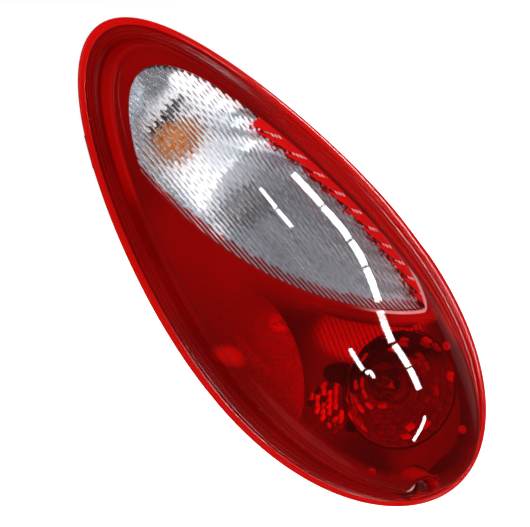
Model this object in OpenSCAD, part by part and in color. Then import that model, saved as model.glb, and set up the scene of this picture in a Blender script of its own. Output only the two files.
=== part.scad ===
// Tail light cluster: an egg-shaped car rear lamp with a red crowned lens,
// a clear fluted window over the turn and reversing lights, a reflex insert
// and a stop light bowl, on a tub housing with three bulb holders.
// Units are millimetres. The lamp stands as it does on the car: Z up, with
// the narrow end on top, and the lens facing -Y. The origin is the lower
// screw, on the plane where the lamp seats against the body panel.

/* [Outline] */
// Length of the lens, narrow end to wide end
lens_l = 441; // [421:2:461]
// Width of the lens at its widest
lens_w = 192; // [186:1:200]
// How much wider the low end is than the top
taper_a = 0.228; // [0.2:0.004:0.25]
// Fullness of the outline at mid length
taper_b = 0.016; // [0:0.004:0.03]
// Extra curl of the outline at both ends
taper_c = 0.067; // [0.05:0.002:0.075]
// Bow of the long axis, both ends to the right
bow = 5.8; // [4:0.2:7]

/* [Lens rim] */
// Thickness of the flat rim of the lens
rim_t = 3; // [2.6:0.1:4]
// Width of the raised outer lip
lip_w = 5.5; // [4:0.5:7]
// Height of the lip above the land
lip_h = 0.9; // [0.5:0.1:1.5]
// Inset of the foot of the lens wall
wall_in = 14.5; // [13:0.5:16]
// Height of the lens wall over the back of the rim
wall_h = 22; // [18:1:24]
// Lean of the wall between foot and top
wall_lean = 3.5; // [2.5:0.5:5]
// Width of the round shoulder above the wall
shoulder_w = 3.5; // [2.5:0.5:4.5]
// Height of the round shoulder
shoulder_h = 5; // [4:0.5:7]
// Wall thickness of the lens
lens_t = 3; // [2.6:0.1:3.4]

/* [Lens crown] */
// Crown height over the shoulder at the top end
crown_top = 11; // [8:1:14]
// Crown height over the shoulder at the low end
crown_low = 38; // [32:1:42]

/* [Clear window] */
// Distance of the window from the left side of the lens
win_left_in = 56; // [54:0.5:58]
// Distance of the window from the right side of the lens
win_right_in = 27.5; // [27:0.5:30]
// Distance from the top end to where the border sweeps down
win_turn_down = 106; // [102:1:110]
// Height of the end of the sweep over the low end
win_tip_up = 131; // [128:1:136]
// Rounding of the low corner
win_corner = 14; // [10:1:18]
// Flutes across the window
flutes = 41; // [31:2:47]
// Depth of a flute
flute_d = 0.8; // [0.4:0.1:1.2]

/* [Mounting] */
// Thickness of the foam gasket
gasket_t = 4; // [3:0.5:6]
// Thickness of the housing flange
flange_t = 3; // [2.5:0.5:4]
// Screw hole through the sleeve
screw_d = 8; // [6:0.5:8]
// Inset of the screw from the outline
screw_in = 17.3; // [16.5:0.2:19]
// Place of the screw round the outline, in degrees from the top
screw_turn = 199.4; // [197:0.2:202]
// Diameter of the locating studs
stud_d = 8; // [6:0.5:9]
// How far the studs stand out behind the gasket
stud_l = 16; // [12:1:24]
// Inset of the locating studs from the outline
stud_in = 18.2; // [17.5:0.2:20]

/* [Housing] */
// Depth of the tub behind the body panel
tub_h = 33; // [33:1:40]
// Inset of the tub from the lens outline
tub_in = 28; // [27:0.5:29]
// Draft of the tub, flange to back
tub_draft = 9; // [7:0.5:10]
// Wall thickness of the tub
tub_t = 2.4; // [2:0.1:3]
// Height of the stiffening ribs on the back
rib_h = 5; // [4:0.5:7]
// Thickness of those ribs
rib_t = 2; // [1.6:0.1:2.4]
// Distance of the long ribs from their middle line
rib_gap = 24; // [20:1:28]

/* [Lights] */
// Diameter of a bulb
bulb_d = 26.5; // [24:0.5:27]
// Diameter of the hole for a bulb holder
port_d = 30; // [29:0.5:31]
// Distance of the turn light from the top end
turn_down = 96; // [93:1:99]
// Distance from the turn light to the reversing light
reverse_gap = 75; // [70:1:80]
// Radius of the stop light bowl
bowl_r = 44; // [40:1:45]
// Gap between the bowl and the low end of the lens
bowl_up = 50; // [48:1:53]
// Gap between the bowl and the right side of the lens
bowl_side = 29.5; // [29:0.5:32]

/* [Hidden] */

peak = max([for (i = [-200:200]) taper(i/200)*sqrt(1 - i*i/40000)]);
lens_z = gasket_t + flange_t;
low_scale = 0.75;
top_scale = 1.15;
shoulder_in = wall_in + wall_lean + shoulder_w;
shoulder_z = lens_z + wall_h + shoulder_h;
hub = [22, 40];
rows = 8;
around = 72;
win_left = win_left_in - lens_w/2;
win_right = lens_w/2 - win_right_in;
win_turn = lens_l/2 - win_turn_down;
win_drop = lens_l - win_turn_down - win_tip_up;
turn_y = lens_l/2 - turn_down;
turn_x = mix(win_left, win_right, 0.33);
reverse_y = turn_y - reverse_gap;
reverse_x = mix(win_left, win_right, 0.45);
stop_y = bowl_up + bowl_r - lens_l/2;
stop_x = side(rim(0), stop_y) - bowl_side - bowl_r;
screw = egg(even(screw_in), screw_turn);
screw_x = -screw[0];
screw_y = screw[1];
back_z = -tub_h;
floor_z = back_z + tub_t;
bulb_top = lens_z + 15;
seal_t = 3;
fit = 0.2;
foot_r = screw_d/2 + 4;
studs = [for (a = [84, 115]) egg(even(stud_in), a)];
vents = [[win_left + 20, stop_y + bowl_r + 42], [win_left + 58, stop_y + bowl_r + 52]];
dial = [for (i = [0:around - 1]) 360*i/around];

// Egg outline

function taper(u) = 1 - taper_a*u + taper_b*(1 - u*u) + taper_c*u*u*u;
function clip(t, lo, hi) = max(lo, min(hi, t));
function half_l(m) = (lens_l - m[0] - m[2])/2;
function half_w(m) = (lens_w/2 - m[1])/peak;
function mid_y(m) = (m[2] - m[0])/2;
function along(m, p) = (p[1] - mid_y(m))/half_l(m);
function sway(u) = bow*(u*u - 1/6);
function egg(m, a) = [half_w(m)*taper(cos(a))*sin(a) + sway(cos(a)), mid_y(m) + half_l(m)*cos(a)];
function egg_ring(m, z) = [for (a = dial) concat(egg(m, a), z)];
function egg_flat(m) = [for (a = dial) egg(m, a)];
function side(m, y, way = 1) = let(u = clip((y - mid_y(m))/half_l(m), -1, 1))
    way*half_w(m)*taper(u)*sqrt(1 - u*u) + sway(u);
function reach(m, p) = let(u = along(m, p), c = clip(u, -1, 1)) norm([u, (p[0] - sway(c))/(half_w(m)*taper(c))]);
function rim(i) = [i*top_scale, i, i*low_scale];
function even(i) = [i, i, i];
function mix(a, b, t) = a + (b - a)*t;

// Crown height of the lens, over shoulder ring m at height z

function crown(m, z, p) = let(k = clip((1 - along(m, p))/2, 0, 1), e = mix(3.4, 2.1, k), r = min(1, reach(m, p)))
    z + mix(crown_top, crown_low, k)*sqrt(1 - pow(r, e));
function outer_z(p) = crown(rim(shoulder_in), shoulder_z, p);
function inner_z(p) = crown(rim(shoulder_in + lens_t), shoulder_z - lens_t, p);

// Rim section of the lens, outside: inset and height over the back of the rim

rim_out = [[0.6, 0], [0, 0.8], [0, rim_t - 1], [0.9, rim_t], [lip_w, rim_t + 0.3], [lip_w + 1, rim_t - lip_h + 0.3],
    [wall_in - 1, rim_t], [wall_in + 0.6, rim_t + 2], [wall_in + wall_lean, wall_h],
    [wall_in + wall_lean + 0.3*shoulder_w, wall_h + 0.7*shoulder_h], [shoulder_in, wall_h + shoulder_h]];
rim_in = [[shoulder_in + lens_t, wall_h + shoulder_h - lens_t], [wall_in + wall_lean + lens_t, wall_h - 2],
    [wall_in + lens_t + 0.6, 0]];

// Border of the clear window

function sweep(t) = pow(1 - pow(1 - t, 1.3), 0.53);
function win_low(x) = win_turn - win_drop*sweep(clip((x - win_left)/(win_right - win_left), 0, 1))
    + 2*win_corner*pow(max(0, (x - win_right)/win_corner + 1), 2);
function win_seek(x, lo, hi, n) = let(m = (lo + hi)/2) n == 0 ? m
    : reach(rim(shoulder_in), [x, m]) > 0.935 ? win_seek(x, lo, m, n - 1) : win_seek(x, m, hi, n - 1);
function win_high(x) = win_seek(x, -lens_l/10, lens_l/2, 22);
columns = 2*flutes;
win_x = [for (i = [0:columns]) mix(win_left, win_right, i/columns)];
win_even = [for (i = [0:2:columns]) [win_x[i], win_low(win_x[i]), win_high(win_x[i])]];
win_ends = [for (i = [0:columns]) i%2 == 0 ? win_even[i/2] : (win_even[(i - 1)/2] + win_even[(i + 1)/2])/2];
function in_window(s, t) = let(x = mix(win_left, win_right, s)) [x, mix(win_low(x), win_high(x), t)];
function win_point(i, j) = [win_x[i], mix(win_ends[i][1], win_ends[i][2], j/rows)];
function ring_z(i, j) = i%2 == 0 ? outer_z(win_point(i, j))
    : (outer_z(win_point(i - 1, j)) + outer_z(win_point(i + 1, j)))/2;
function on_edge(i, j) = j == 0 || j == rows;
function window_z(i, j) = on_edge(i, j) ? ring_z(i, j) : outer_z(win_point(i, j));
win_ring = concat([for (i = [0:2:columns]) win_point(i, rows)],
    [for (j = [rows - 1:-1:1]) win_point(columns, j)],
    [for (i = [columns:-2:0]) win_point(i, 0)],
    [for (j = [1:rows - 1]) win_point(0, j)]);

// Distance from the hub, along a direction, to ring m

function ray(m, d, lo = 0, hi = 300, n = 24) = let(t = (lo + hi)/2) n == 0 ? t
    : reach(m, hub + d*t) > 1 ? ray(m, d, lo, t, n - 1) : ray(m, d, t, hi, n - 1);
function ring_at(m) = [for (p = win_ring) let(d = (p - hub)/norm(p - hub)) hub + d*ray(m, d)];

// Height of the lens outside, anywhere inside the outline

function inset_at(p, lo = 0, hi = 60, n = 18) = let(t = (lo + hi)/2) n == 0 ? t
    : reach(rim(t), p) > 1 ? inset_at(p, lo, t, n - 1) : inset_at(p, t, hi, n - 1);
rim_table = [for (k = [3:len(rim_out) - 1]) rim_out[k]];
function lens_top(p) = let(i = inset_at(p)) i < shoulder_in ? lens_z + lookup(i, rim_table) : outer_z(p);

// Solids from point grids

// closed ring of rings, each with the same number of points
module torus(rings) {
    n = len(rings[0]);
    m = len(rings);
    function at(k, i) = (k%m)*n + i%n;
    polyhedron([for (r = rings) each r],
        [for (k = [0:m - 1]) for (i = [0:n - 1]) each
            [[at(k, i), at(k, i + 1), at(k + 1, i)], [at(k + 1, i), at(k, i + 1), at(k + 1, i + 1)]]]);
}

// stack of rings with flat ends
module stack(rings) {
    n = len(rings[0]);
    m = len(rings);
    function at(k, i) = k*n + i%n;
    polyhedron([for (r = rings) each r], concat(
        [for (k = [0:m - 2]) for (i = [0:n - 1]) each
            [[at(k, i), at(k, i + 1), at(k + 1, i)], [at(k + 1, i), at(k, i + 1), at(k + 1, i + 1)]]],
        [[for (i = [n - 1:-1:0]) at(0, i)]], [[for (i = [0:n - 1]) at(m - 1, i)]]));
}

// slab between a front grid and a back grid
module slab(front, back) {
    n = len(front);
    m = len(front[0]);
    rimmed = concat([for (i = [0:n - 1]) [i, 0]], [for (j = [1:m - 1]) [n - 1, j]],
        [for (i = [n - 2:-1:0]) [i, m - 1]], [for (j = [m - 2:-1:1]) [0, j]]);
    edge = len(rimmed);
    function f(i, j) = i*m + j;
    function b(i, j) = n*m + i*m + j;
    polyhedron(concat([for (c = front) each c], [for (c = back) each c]), concat(
        [for (i = [0:n - 2]) for (j = [0:m - 2]) each
            [[f(i, j), f(i, j + 1), f(i + 1, j)], [f(i + 1, j), f(i, j + 1), f(i + 1, j + 1)]]],
        [for (i = [0:n - 2]) for (j = [0:m - 2]) each
            [[b(i, j), b(i + 1, j), b(i, j + 1)], [b(i + 1, j), b(i + 1, j + 1), b(i, j + 1)]]],
        [for (k = [0:edge - 1]) let(p = rimmed[k], q = rimmed[(k + 1)%edge]) each
            [[f(p[0], p[1]), f(q[0], q[1]), b(p[0], p[1])], [f(q[0], q[1]), b(q[0], q[1]), b(p[0], p[1])]]]));
}

// moves a piece from the lamp's own frame, lens up, to the frame of the car
module place() {
    rotate([90, 0, 0])
        translate([screw_x, -screw_y, 0])
            children();
}

// ring with exact round walls
module tube(r1, r2, z1, z2) {
    translate([0, 0, z1])
        difference() {
            cylinder(r = r2, h = z2 - z1);
            translate([0, 0, -1])
                cylinder(r = r1, h = z2 - z1 + 2);
        }
}

// Red lens

crown_steps = [0.03, 0.09, 0.18, 0.3, 0.46, 0.64, 0.82];
inner_steps = [0.75, 0.5, 0.3, 0.1];
pocket_r = 6.8;
pocket_z = lens_z + 3.4;
pocket_top = lens_z + 42;
pocket_wide = 12.5;

function at_z(ring, z) = [for (p = ring) concat(p, z)];
lens_rings = concat(
    [for (q = rim_out) at_z(ring_at(rim(q[0])), lens_z + q[1])],
    let(r = ring_at(rim(shoulder_in))) [for (t = crown_steps)
        [for (i = [0:len(r) - 1]) let(p = mix(r[i], win_ring[i], t)) concat(p, outer_z(p))]],
    [[for (p = win_ring) concat(p, outer_z(p))]],
    [[for (p = win_ring) concat(p, outer_z(p) - lens_t)]],
    let(r = ring_at(rim(shoulder_in + lens_t))) [for (t = inner_steps)
        [for (i = [0:len(r) - 1]) let(p = mix(r[i], win_ring[i], t)) concat(p, inner_z(p))]],
    [for (q = rim_in) at_z(ring_at(rim(q[0])), lens_z + q[1])]);

// wall round the screw pocket, trimmed to the outside of the lens
module pocket_wall() {
    steps = 5;
    turns = 32;
    reach_r = pocket_wide + 2.5;
    function spot(k, a) = [-screw_x + reach_r*k/steps*cos(a), screw_y + reach_r*k/steps*sin(a)];
    function ring(k) = [for (i = [0:turns - 1]) let(p = spot(k, -360*i/turns)) concat(p, lens_top(p) - 0.3)];
    function foot(k) = [for (i = [0:turns - 1]) concat(spot(k, -360*i/turns), lens_z)];
    stack(concat([foot(steps)], [for (k = [steps:-1:1]) ring(k)], [ring(0.05)]));
}

module lens_red() {
    color([0.72, 0.02, 0.03])
    place()
    difference() {
        union() {
            torus(lens_rings);
            pocket_wall();
        }
        translate([-screw_x, screw_y, pocket_z])
            cylinder(r1 = pocket_r, r2 = pocket_wide, h = pocket_top - pocket_z);
        translate([-screw_x, screw_y, 0])
            cylinder(r = screw_d/2 + 1.5, h = pocket_top);
    }
}

// Clear window

function flute(i, j) = i%2 == 1 && j > 0 && j < rows ? flute_d : 0;

module lens_clear() {
    color([0.86, 0.88, 0.9])
    place()
    slab([for (i = [0:columns]) [for (j = [0:rows]) concat(win_point(i, j), window_z(i, j))]],
        [for (i = [0:columns]) [for (j = [0:rows]) concat(win_point(i, j), window_z(i, j) - lens_t - flute(i, j))]]);
}

// Reflex insert

reflex_r = 97.5;
reflex_c = [win_left - 82.6, -11.8];
reflex_low = -91.5;
reflex_high = 75.5;
reflex_t = 2.6;
reflex_legs = [for (y = [41, -60]) [reflex_left(y) + 1.6, y]];
function reflex_right(y, more = 0) = reflex_c[0] + sqrt(pow(reflex_r + more, 2) - pow(y - reflex_c[1], 2));
function reflex_left(y) = side(rim(shoulder_in + lens_t + 1.2), y, -1);
function reflex_z(p) = shoulder_z - 6.2 + 0.2*(p[0] - win_left + 32) - 0.03*(p[1] - 20);
function reflex_edge(n = 16) = concat(
    [for (k = [0:n]) let(y = mix(reflex_low, reflex_high, k/n)) [reflex_left(y), y]],
    [for (k = [n:-1:0]) let(y = mix(reflex_low, reflex_high, k/n)) [max(reflex_right(y), reflex_left(y) + 1), y]]);

module reflex_reflector() {
    color([0.8, 0.03, 0.03])
    place()
    union() {
        stack([[for (p = reflex_edge()) concat(p, reflex_z(p) - reflex_t)], [for (p = reflex_edge()) concat(p, reflex_z(p))]]);
        for (p = reflex_legs)
            translate([p[0], p[1], lens_z])
                cylinder(r = 2, h = reflex_z(p) - lens_z - 1);
    }
}

// Housing

flange_in = 5;
posts = [for (a = [130, 160, 215, 238]) egg(even(tub_in - 3.6), a)];
apron_z = lens_z + 11;
pillars = [for (q = [[0.55, 0.64], [0.61, 0.26], [0.7, 0.52]]) in_window(q[0], q[1])];
pillar_z = floor_z + 3;
tabs = [[315.3, 24], [39.1, 18]];

function tub_ring(i, z) = egg_ring(even(i), z);

module bulb_spots() {
    for (p = [[turn_x, turn_y], [reverse_x, reverse_y], [stop_x, stop_y]])
        translate([p[0], p[1], 0])
            children();
}

// block under the lip of the lens, square to the outline
module tab(a, w) {
    p = egg(even(1.4), a);
    d = egg(even(1.4), a + 1) - egg(even(1.4), a - 1);
    translate([p[0], p[1], gasket_t + 0.4])
        rotate([0, 0, atan2(d[1], d[0])])
            translate([-w/2, -8, 0])
                cube([w, 8.6, flange_t - 0.8]);
}

// stiffening ribs on the back, a ladder between the reversing and stop lights
module back_ribs() {
    top = reverse_y - port_d/2 - 8;
    low = stop_y + port_d/2 + 8;
    mid = (stop_x + reverse_x)/2;
    for (x = [mid - rib_gap, mid + rib_gap])
        translate([x - rib_t/2, low, back_z - rib_h])
            cube([rib_t, top - low, rib_h + 1]);
    for (k = [0:3])
        translate([mid - rib_gap, mix(low, top - rib_t, k/3), back_z - rib_h])
            cube([2*rib_gap, rib_t, rib_h + 1]);
}

module housing() {
    color([0.16, 0.16, 0.17])
    place()
    difference() {
        union() {
            stack([tub_ring(tub_in + tub_draft, back_z), tub_ring(tub_in + 1.2, gasket_t - 2), tub_ring(tub_in, gasket_t),
                tub_ring(flange_in, gasket_t),
                tub_ring(flange_in, lens_z), tub_ring(tub_in + tub_t, lens_z), tub_ring(tub_in + tub_t + tub_draft, floor_z)]);
            bulb_spots()
                translate([0, 0, floor_z - 1])
                    cylinder(r = port_d/2 + 4, h = 5);
            for (p = posts)
                translate([p[0], p[1], lens_z - 1])
                    cylinder(r = 3.2, h = apron_z - lens_z + 1);
            for (p = pillars)
                translate([p[0], p[1], floor_z - 1])
                    cylinder(r = 5, h = pillar_z - floor_z + 1);
            for (p = vents)
                translate([p[0], p[1], back_z - 9])
                    cylinder(r = 4, h = 10);
            for (p = studs)
                translate([p[0], p[1], gasket_t])
                    cylinder(r = stud_d/2 + 3, h = flange_t);
            for (t = tabs)
                tab(t[0], t[1]);
            back_ribs();
        }
        bulb_spots()
            translate([0, 0, back_z - 2])
                cylinder(r = port_d/2, h = 14);
        for (p = posts)
            translate([p[0], p[1], lens_z + 1])
                cylinder(r = 1.3, h = apron_z);
        for (p = pillars)
            translate([p[0], p[1], back_z - 1])
                cylinder(r = 1.7, h = 10);
        for (p = vents)
            translate([p[0], p[1], back_z - 10])
                cylinder(r = 2, h = 16);
        for (p = studs)
            translate([p[0], p[1], gasket_t - 1])
                cylinder(r = stud_d/2 - 1, h = flange_t + 2);
        translate([-screw_x, screw_y, 0])
            cylinder(r = screw_d/2 + 1.5, h = lens_z + 2);
    }
}

// Reflector behind the clear window

dish_rows = 18;
dish_cols = 26;
dish_t = 2.2;
dish_low = lens_z - 12;
dish_focus = 44;
dish_blend = 12;
dish_gap = 6;
tip = [win_right - 8, win_low(win_right - 8)];
tip_way = (tip - [reverse_x, reverse_y])/norm(tip - [reverse_x, reverse_y]);

function even_out(t) = (1 - cos(180*t))/2;
function dish_xy(i, j) = let(x = mix(win_left + 1.2, win_right - 1.6, even_out(i/dish_cols)))
    [x, mix(win_low(x) + 3, win_high(x) - 2.5, even_out(j/dish_rows))];
function soft_min(a, b, k) = min(a, b) - pow(max(0, k - abs(a - b)), 2)/(4*k);
function turn_bowl(p) = dish_low + (1.1*pow(p[0] - turn_x, 2) + 0.9*pow(p[1] - turn_y, 2))/dish_focus;
function reverse_bowl(p) = let(d = p - [reverse_x, reverse_y], along = d*tip_way,
    across = d*[-tip_way[1], tip_way[0]], a = (along > 0 ? 0.4 : 1)*along)
    dish_low + (0.85*across*across + 1.1*a*a)/dish_focus;
function dish_bowls(p) = soft_min(soft_min(turn_bowl(p), reverse_bowl(p), dish_blend),
    inner_z(p) - dish_gap, dish_blend);
function dish_deep(s, t) = pow(max(0, 1 - s*s*s*s), 0.75)*pow(max(0, 1 - t*t*t*t), 0.8);
function dish_z(p) = let(s = (p[0] - win_left - 1.2)/(win_right - win_left - 2.8), low = win_low(p[0]) + 3,
    t = (p[1] - low)/(win_high(p[0]) - 2.5 - low))
    mix(inner_z(p) - 3, dish_bowls(p), dish_deep(2*s - 1, 2*t - 1));
function dish_point(i, j, drop = 0) = let(p = dish_xy(i, j)) concat(p, dish_z(p) - drop);

module signal_reflector() {
    color([0.78, 0.79, 0.8])
    place()
    difference() {
        union() {
            slab([for (i = [0:dish_cols]) [for (j = [0:dish_rows]) dish_point(i, j)]],
                [for (i = [0:dish_cols]) [for (j = [0:dish_rows]) dish_point(i, j, dish_t)]]);
            for (p = pillars)
                translate([p[0], p[1], pillar_z])
                    cylinder(r = 4, h = dish_z(p) - dish_t + 1 - pillar_z);
        }
        for (p = [[turn_x, turn_y], [reverse_x, reverse_y]])
            translate([p[0], p[1], floor_z])
                cylinder(r = port_d/2, h = 60);
        for (p = pillars)
            translate([p[0], p[1], pillar_z - 1])
                cylinder(r = 1.3, h = 9);
    }
}

// Stop light bowl with its apron

bowl_low = -10;
bowl_steps = 7;
apron_top = [for (k = [0:8]) let(x = mix(win_left + 10, win_right - 6, k/8)) [x, win_low(x) - 20]];
function bowl_z(r) = mix(bowl_low, apron_z + 2, pow((r - port_d/2)/(bowl_r - port_d/2), 2));

module stop_reflector() {
    color([0.75, 0.76, 0.78])
    place()
    difference() {
        union() {
            translate([0, 0, apron_z])
                linear_extrude(2)
                    difference() {
                        intersection() {
                            polygon(egg_flat(even(tub_in - 1)));
                            polygon(concat([for (p = apron_top) p], [[lens_w, apron_top[8][1]], [lens_w, -lens_l],
                                [-lens_w, -lens_l], [-lens_w, apron_top[0][1]]]));
                        }
                        polygon(concat([for (k = [-6:6]) let(a = 11*k) reflex_c + (reflex_r + 3)*[cos(a), sin(a)]], [[-lens_w, 0]]));
                        translate([stop_x, stop_y])
                            circle(r = bowl_r - 1);
                        translate([-screw_x, screw_y])
                            circle(r = pocket_wide + 4);
                    }
            for (p = posts)
                translate([p[0], p[1], apron_z])
                    cylinder(r = 4, h = 2);
            translate([stop_x, stop_y, 0])
                rotate_extrude()
                    polygon(concat(
                        [for (k = [0:bowl_steps]) let(r = mix(port_d/2, bowl_r, k/bowl_steps)) each
                            k == 0 ? [[r, bowl_z(r)]] : [[r - 1.2, bowl_z(r) - 1.6], [r, bowl_z(r)]]],
                        [[bowl_r + 1.5, apron_z + 2], [bowl_r + 1.5, apron_z]],
                        [for (k = [bowl_steps:-1:0]) let(r = mix(port_d/2, bowl_r, k/bowl_steps)) [r, bowl_z(r) - 4]]));
        }
        for (p = posts)
            translate([p[0], p[1], apron_z - 1])
                cylinder(r = 1.7, h = 6);
    }
}

// Bulbs: glass, wedge base and filament

base_top = floor_z + 12;

module bulb_glass(tint) {
    r = bulb_d/2;
    c = bulb_top - r;
    color(tint)
    rotate_extrude()
        polygon(concat(
            [[0, bulb_top]],
            [for (a = [80:-10:-30]) [r*cos(a), c + r*sin(a)]],
            [[8, base_top + 6], [7.4, base_top], [6.4, base_top], [7, base_top + 6]],
            [for (a = [-30:10:80]) [(r - 1)*cos(a), c + (r - 1)*sin(a)]],
            [[0, bulb_top - 1]]));
}

module wedge_base() {
    color([0.2, 0.2, 0.21])
    union() {
        translate([-8, -4, floor_z - 1])
            cube([16, 8, base_top - floor_z + 1]);
        translate([0, 0, base_top - 3])
            cylinder(r = 9, h = 3);
    }
}

module filament() {
    color([0.6, 0.6, 0.6])
    union() {
        for (x = [-3.4, 3.4])
            translate([x, 0, base_top])
                cylinder(r = 0.4, h = 18);
        translate([-3.8, 0, base_top + 18])
            rotate([0, 90, 0])
                cylinder(r = 0.7, h = 7.6);
    }
}

// Bulb holder: body through the port, flange outside and a plug shroud

holder_z = back_z - seal_t;

module holder() {
    color([0.3, 0.31, 0.33])
    difference() {
        union() {
            translate([0, 0, holder_z])
                cylinder(r = port_d/2 - 0.6, h = base_top - 3 - holder_z);
            translate([0, 0, holder_z - 3])
                cylinder(r = port_d/2 + 5, h = 3);
            translate([0, 0, holder_z - 12])
                cylinder(r = 12.5, h = 12);
            for (a = [0:60:300])
                rotate([0, 0, a])
                    translate([9, -1.2, holder_z - 10])
                        cube([8, 2.4, 8]);
            translate([-12, -8, holder_z - 28])
                cube([24, 16, 18]);
            translate([-5, 8, holder_z - 28])
                cube([10, 2.5, 12]);
        }
        translate([-8 - fit, -4 - fit, floor_z - 1])
            cube([16 + 2*fit, 8 + 2*fit, 60]);
        translate([-10, -6, holder_z - 30])
            cube([20, 12, 16]);
        for (x = [-5, 5])
            translate([x - 1.4 - 0.05, -0.45, holder_z - 16])
                cube([2.9, 0.9, 8]);
    }
}

module seal() {
    color([0.12, 0.12, 0.12])
    tube(port_d/2 - 0.6, port_d/2 + 3.5, holder_z, back_z);
}

module terminals() {
    color([0.75, 0.6, 0.3])
    for (x = [-5, 5])
        translate([x - 1.4, -0.4, holder_z - 25])
            cube([2.8, 0.8, 17]);
}

module at_turn() {
    place()
        translate([turn_x, turn_y, 0])
            children();
}

module at_reverse() {
    place()
        translate([reverse_x, reverse_y, 0])
            children();
}

module at_stop() {
    place()
        translate([stop_x, stop_y, 0])
            children();
}

module turn_bulb() {
    at_turn() bulb_glass([0.95, 0.5, 0.08]);
}

module turn_bulb_base() {
    at_turn() wedge_base();
}

module turn_filament() {
    at_turn() filament();
}

module reverse_bulb() {
    at_reverse() bulb_glass([0.9, 0.92, 0.94]);
}

module reverse_bulb_base() {
    at_reverse() wedge_base();
}

module reverse_filament() {
    at_reverse() filament();
}

module stop_bulb() {
    at_stop() bulb_glass([0.9, 0.92, 0.94]);
}

module stop_bulb_base() {
    at_stop() wedge_base();
}

module stop_filament() {
    at_stop() filament();
}

module turn_holder() {
    at_turn() holder();
}

module reverse_holder() {
    at_reverse() holder();
}

module stop_holder() {
    at_stop() holder();
}

module turn_seal() {
    at_turn() seal();
}

module reverse_seal() {
    at_reverse() seal();
}

module stop_seal() {
    at_stop() seal();
}

module turn_terminals() {
    at_turn() terminals();
}

module reverse_terminals() {
    at_reverse() terminals();
}

module stop_terminals() {
    at_stop() terminals();
}

// Gasket, sleeve, studs, screws and vents

module body_gasket() {
    color([0.1, 0.1, 0.1])
    place()
    linear_extrude(gasket_t)
        difference() {
            polygon(egg_flat(even(flange_in + 1.5)));
            polygon(egg_flat(even(flange_in + 8)));
            for (p = studs)
                translate(p)
                    circle(r = stud_d/2 + 1);
            translate([-screw_x, screw_y])
                circle(r = foot_r + 1);
        }
}

module screw_sleeve() {
    color([0.7, 0.7, 0.72])
    place()
    translate([-screw_x, screw_y, 0])
        union() {
            tube(screw_d/2, screw_d/2 + 1.5, 0, pocket_z + 0.8);
            tube(screw_d/2 + 0.5, foot_r, 0, gasket_t);
        }
}

module locating_studs() {
    color([0.66, 0.67, 0.7])
    place()
    for (p = studs)
        translate([p[0], p[1], 0])
            union() {
                translate([0, 0, -stud_l])
                    cylinder(r = stud_d/2, h = stud_l + gasket_t);
                translate([0, 0, gasket_t])
                    cylinder(r = stud_d/2 - 1, h = flange_t);
            }
}

module pan_screw(z) {
    translate([0, 0, z])
        union() {
            translate([0, 0, -10])
                cylinder(r = 1.3, h = 10.5);
            difference() {
                cylinder(r1 = 3.4, r2 = 2.6, h = 2.2);
                translate([-2, -0.4, 1.2])
                    cube([4, 0.8, 2]);
                translate([-0.4, -2, 1.2])
                    cube([0.8, 4, 2]);
            }
        }
}

module reflector_screws() {
    color([0.7, 0.7, 0.72])
    place()
    union() {
        for (p = posts)
            translate(p)
                pan_screw(apron_z + 2);
        for (p = pillars)
            translate([p[0], p[1], back_z])
                mirror([0, 0, 1])
                    pan_screw(0);
    }
}

module vent_boots() {
    color([0.1, 0.1, 0.1])
    place()
    for (p = vents)
        translate([p[0], p[1], 0])
            difference() {
                translate([0, 0, back_z - 16])
                    cylinder(r = 6, h = 12);
                translate([0, 0, back_z - 9])
                    cylinder(r = 4, h = 10);
                translate([0, 0, back_z - 18])
                    cylinder(r = 2, h = 12);
            }
}

lens_red();
lens_clear();
reflex_reflector();
housing();
signal_reflector();
stop_reflector();
turn_bulb();
turn_bulb_base();
turn_filament();
reverse_bulb();
reverse_bulb_base();
reverse_filament();
stop_bulb();
stop_bulb_base();
stop_filament();
turn_holder();
reverse_holder();
stop_holder();
turn_seal();
reverse_seal();
stop_seal();
turn_terminals();
reverse_terminals();
stop_terminals();
body_gasket();
screw_sleeve();
locating_studs();
reflector_screws();
vent_boots();
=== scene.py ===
import math

import bmesh
import bpy
import numpy as np
from mathutils import Euler, Matrix, Vector
from mathutils.bvhtree import BVHTree


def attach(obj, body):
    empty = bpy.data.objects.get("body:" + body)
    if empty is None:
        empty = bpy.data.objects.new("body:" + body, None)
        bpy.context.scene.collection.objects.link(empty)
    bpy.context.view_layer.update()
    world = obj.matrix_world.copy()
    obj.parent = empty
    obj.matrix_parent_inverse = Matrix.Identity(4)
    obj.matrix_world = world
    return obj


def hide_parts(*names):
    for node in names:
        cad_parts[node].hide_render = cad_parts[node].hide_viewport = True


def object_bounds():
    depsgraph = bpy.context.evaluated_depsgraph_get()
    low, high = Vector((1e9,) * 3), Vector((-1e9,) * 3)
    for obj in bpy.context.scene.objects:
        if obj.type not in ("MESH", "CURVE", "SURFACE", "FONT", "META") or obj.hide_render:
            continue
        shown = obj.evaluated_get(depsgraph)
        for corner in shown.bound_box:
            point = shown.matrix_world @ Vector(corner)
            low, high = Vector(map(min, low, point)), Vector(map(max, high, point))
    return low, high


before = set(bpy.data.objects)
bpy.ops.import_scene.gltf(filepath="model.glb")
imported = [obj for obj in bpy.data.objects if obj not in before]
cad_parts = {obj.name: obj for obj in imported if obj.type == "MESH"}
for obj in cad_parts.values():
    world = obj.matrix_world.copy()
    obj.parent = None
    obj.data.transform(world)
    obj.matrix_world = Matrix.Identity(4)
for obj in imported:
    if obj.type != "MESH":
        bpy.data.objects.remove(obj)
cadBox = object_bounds()

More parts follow.
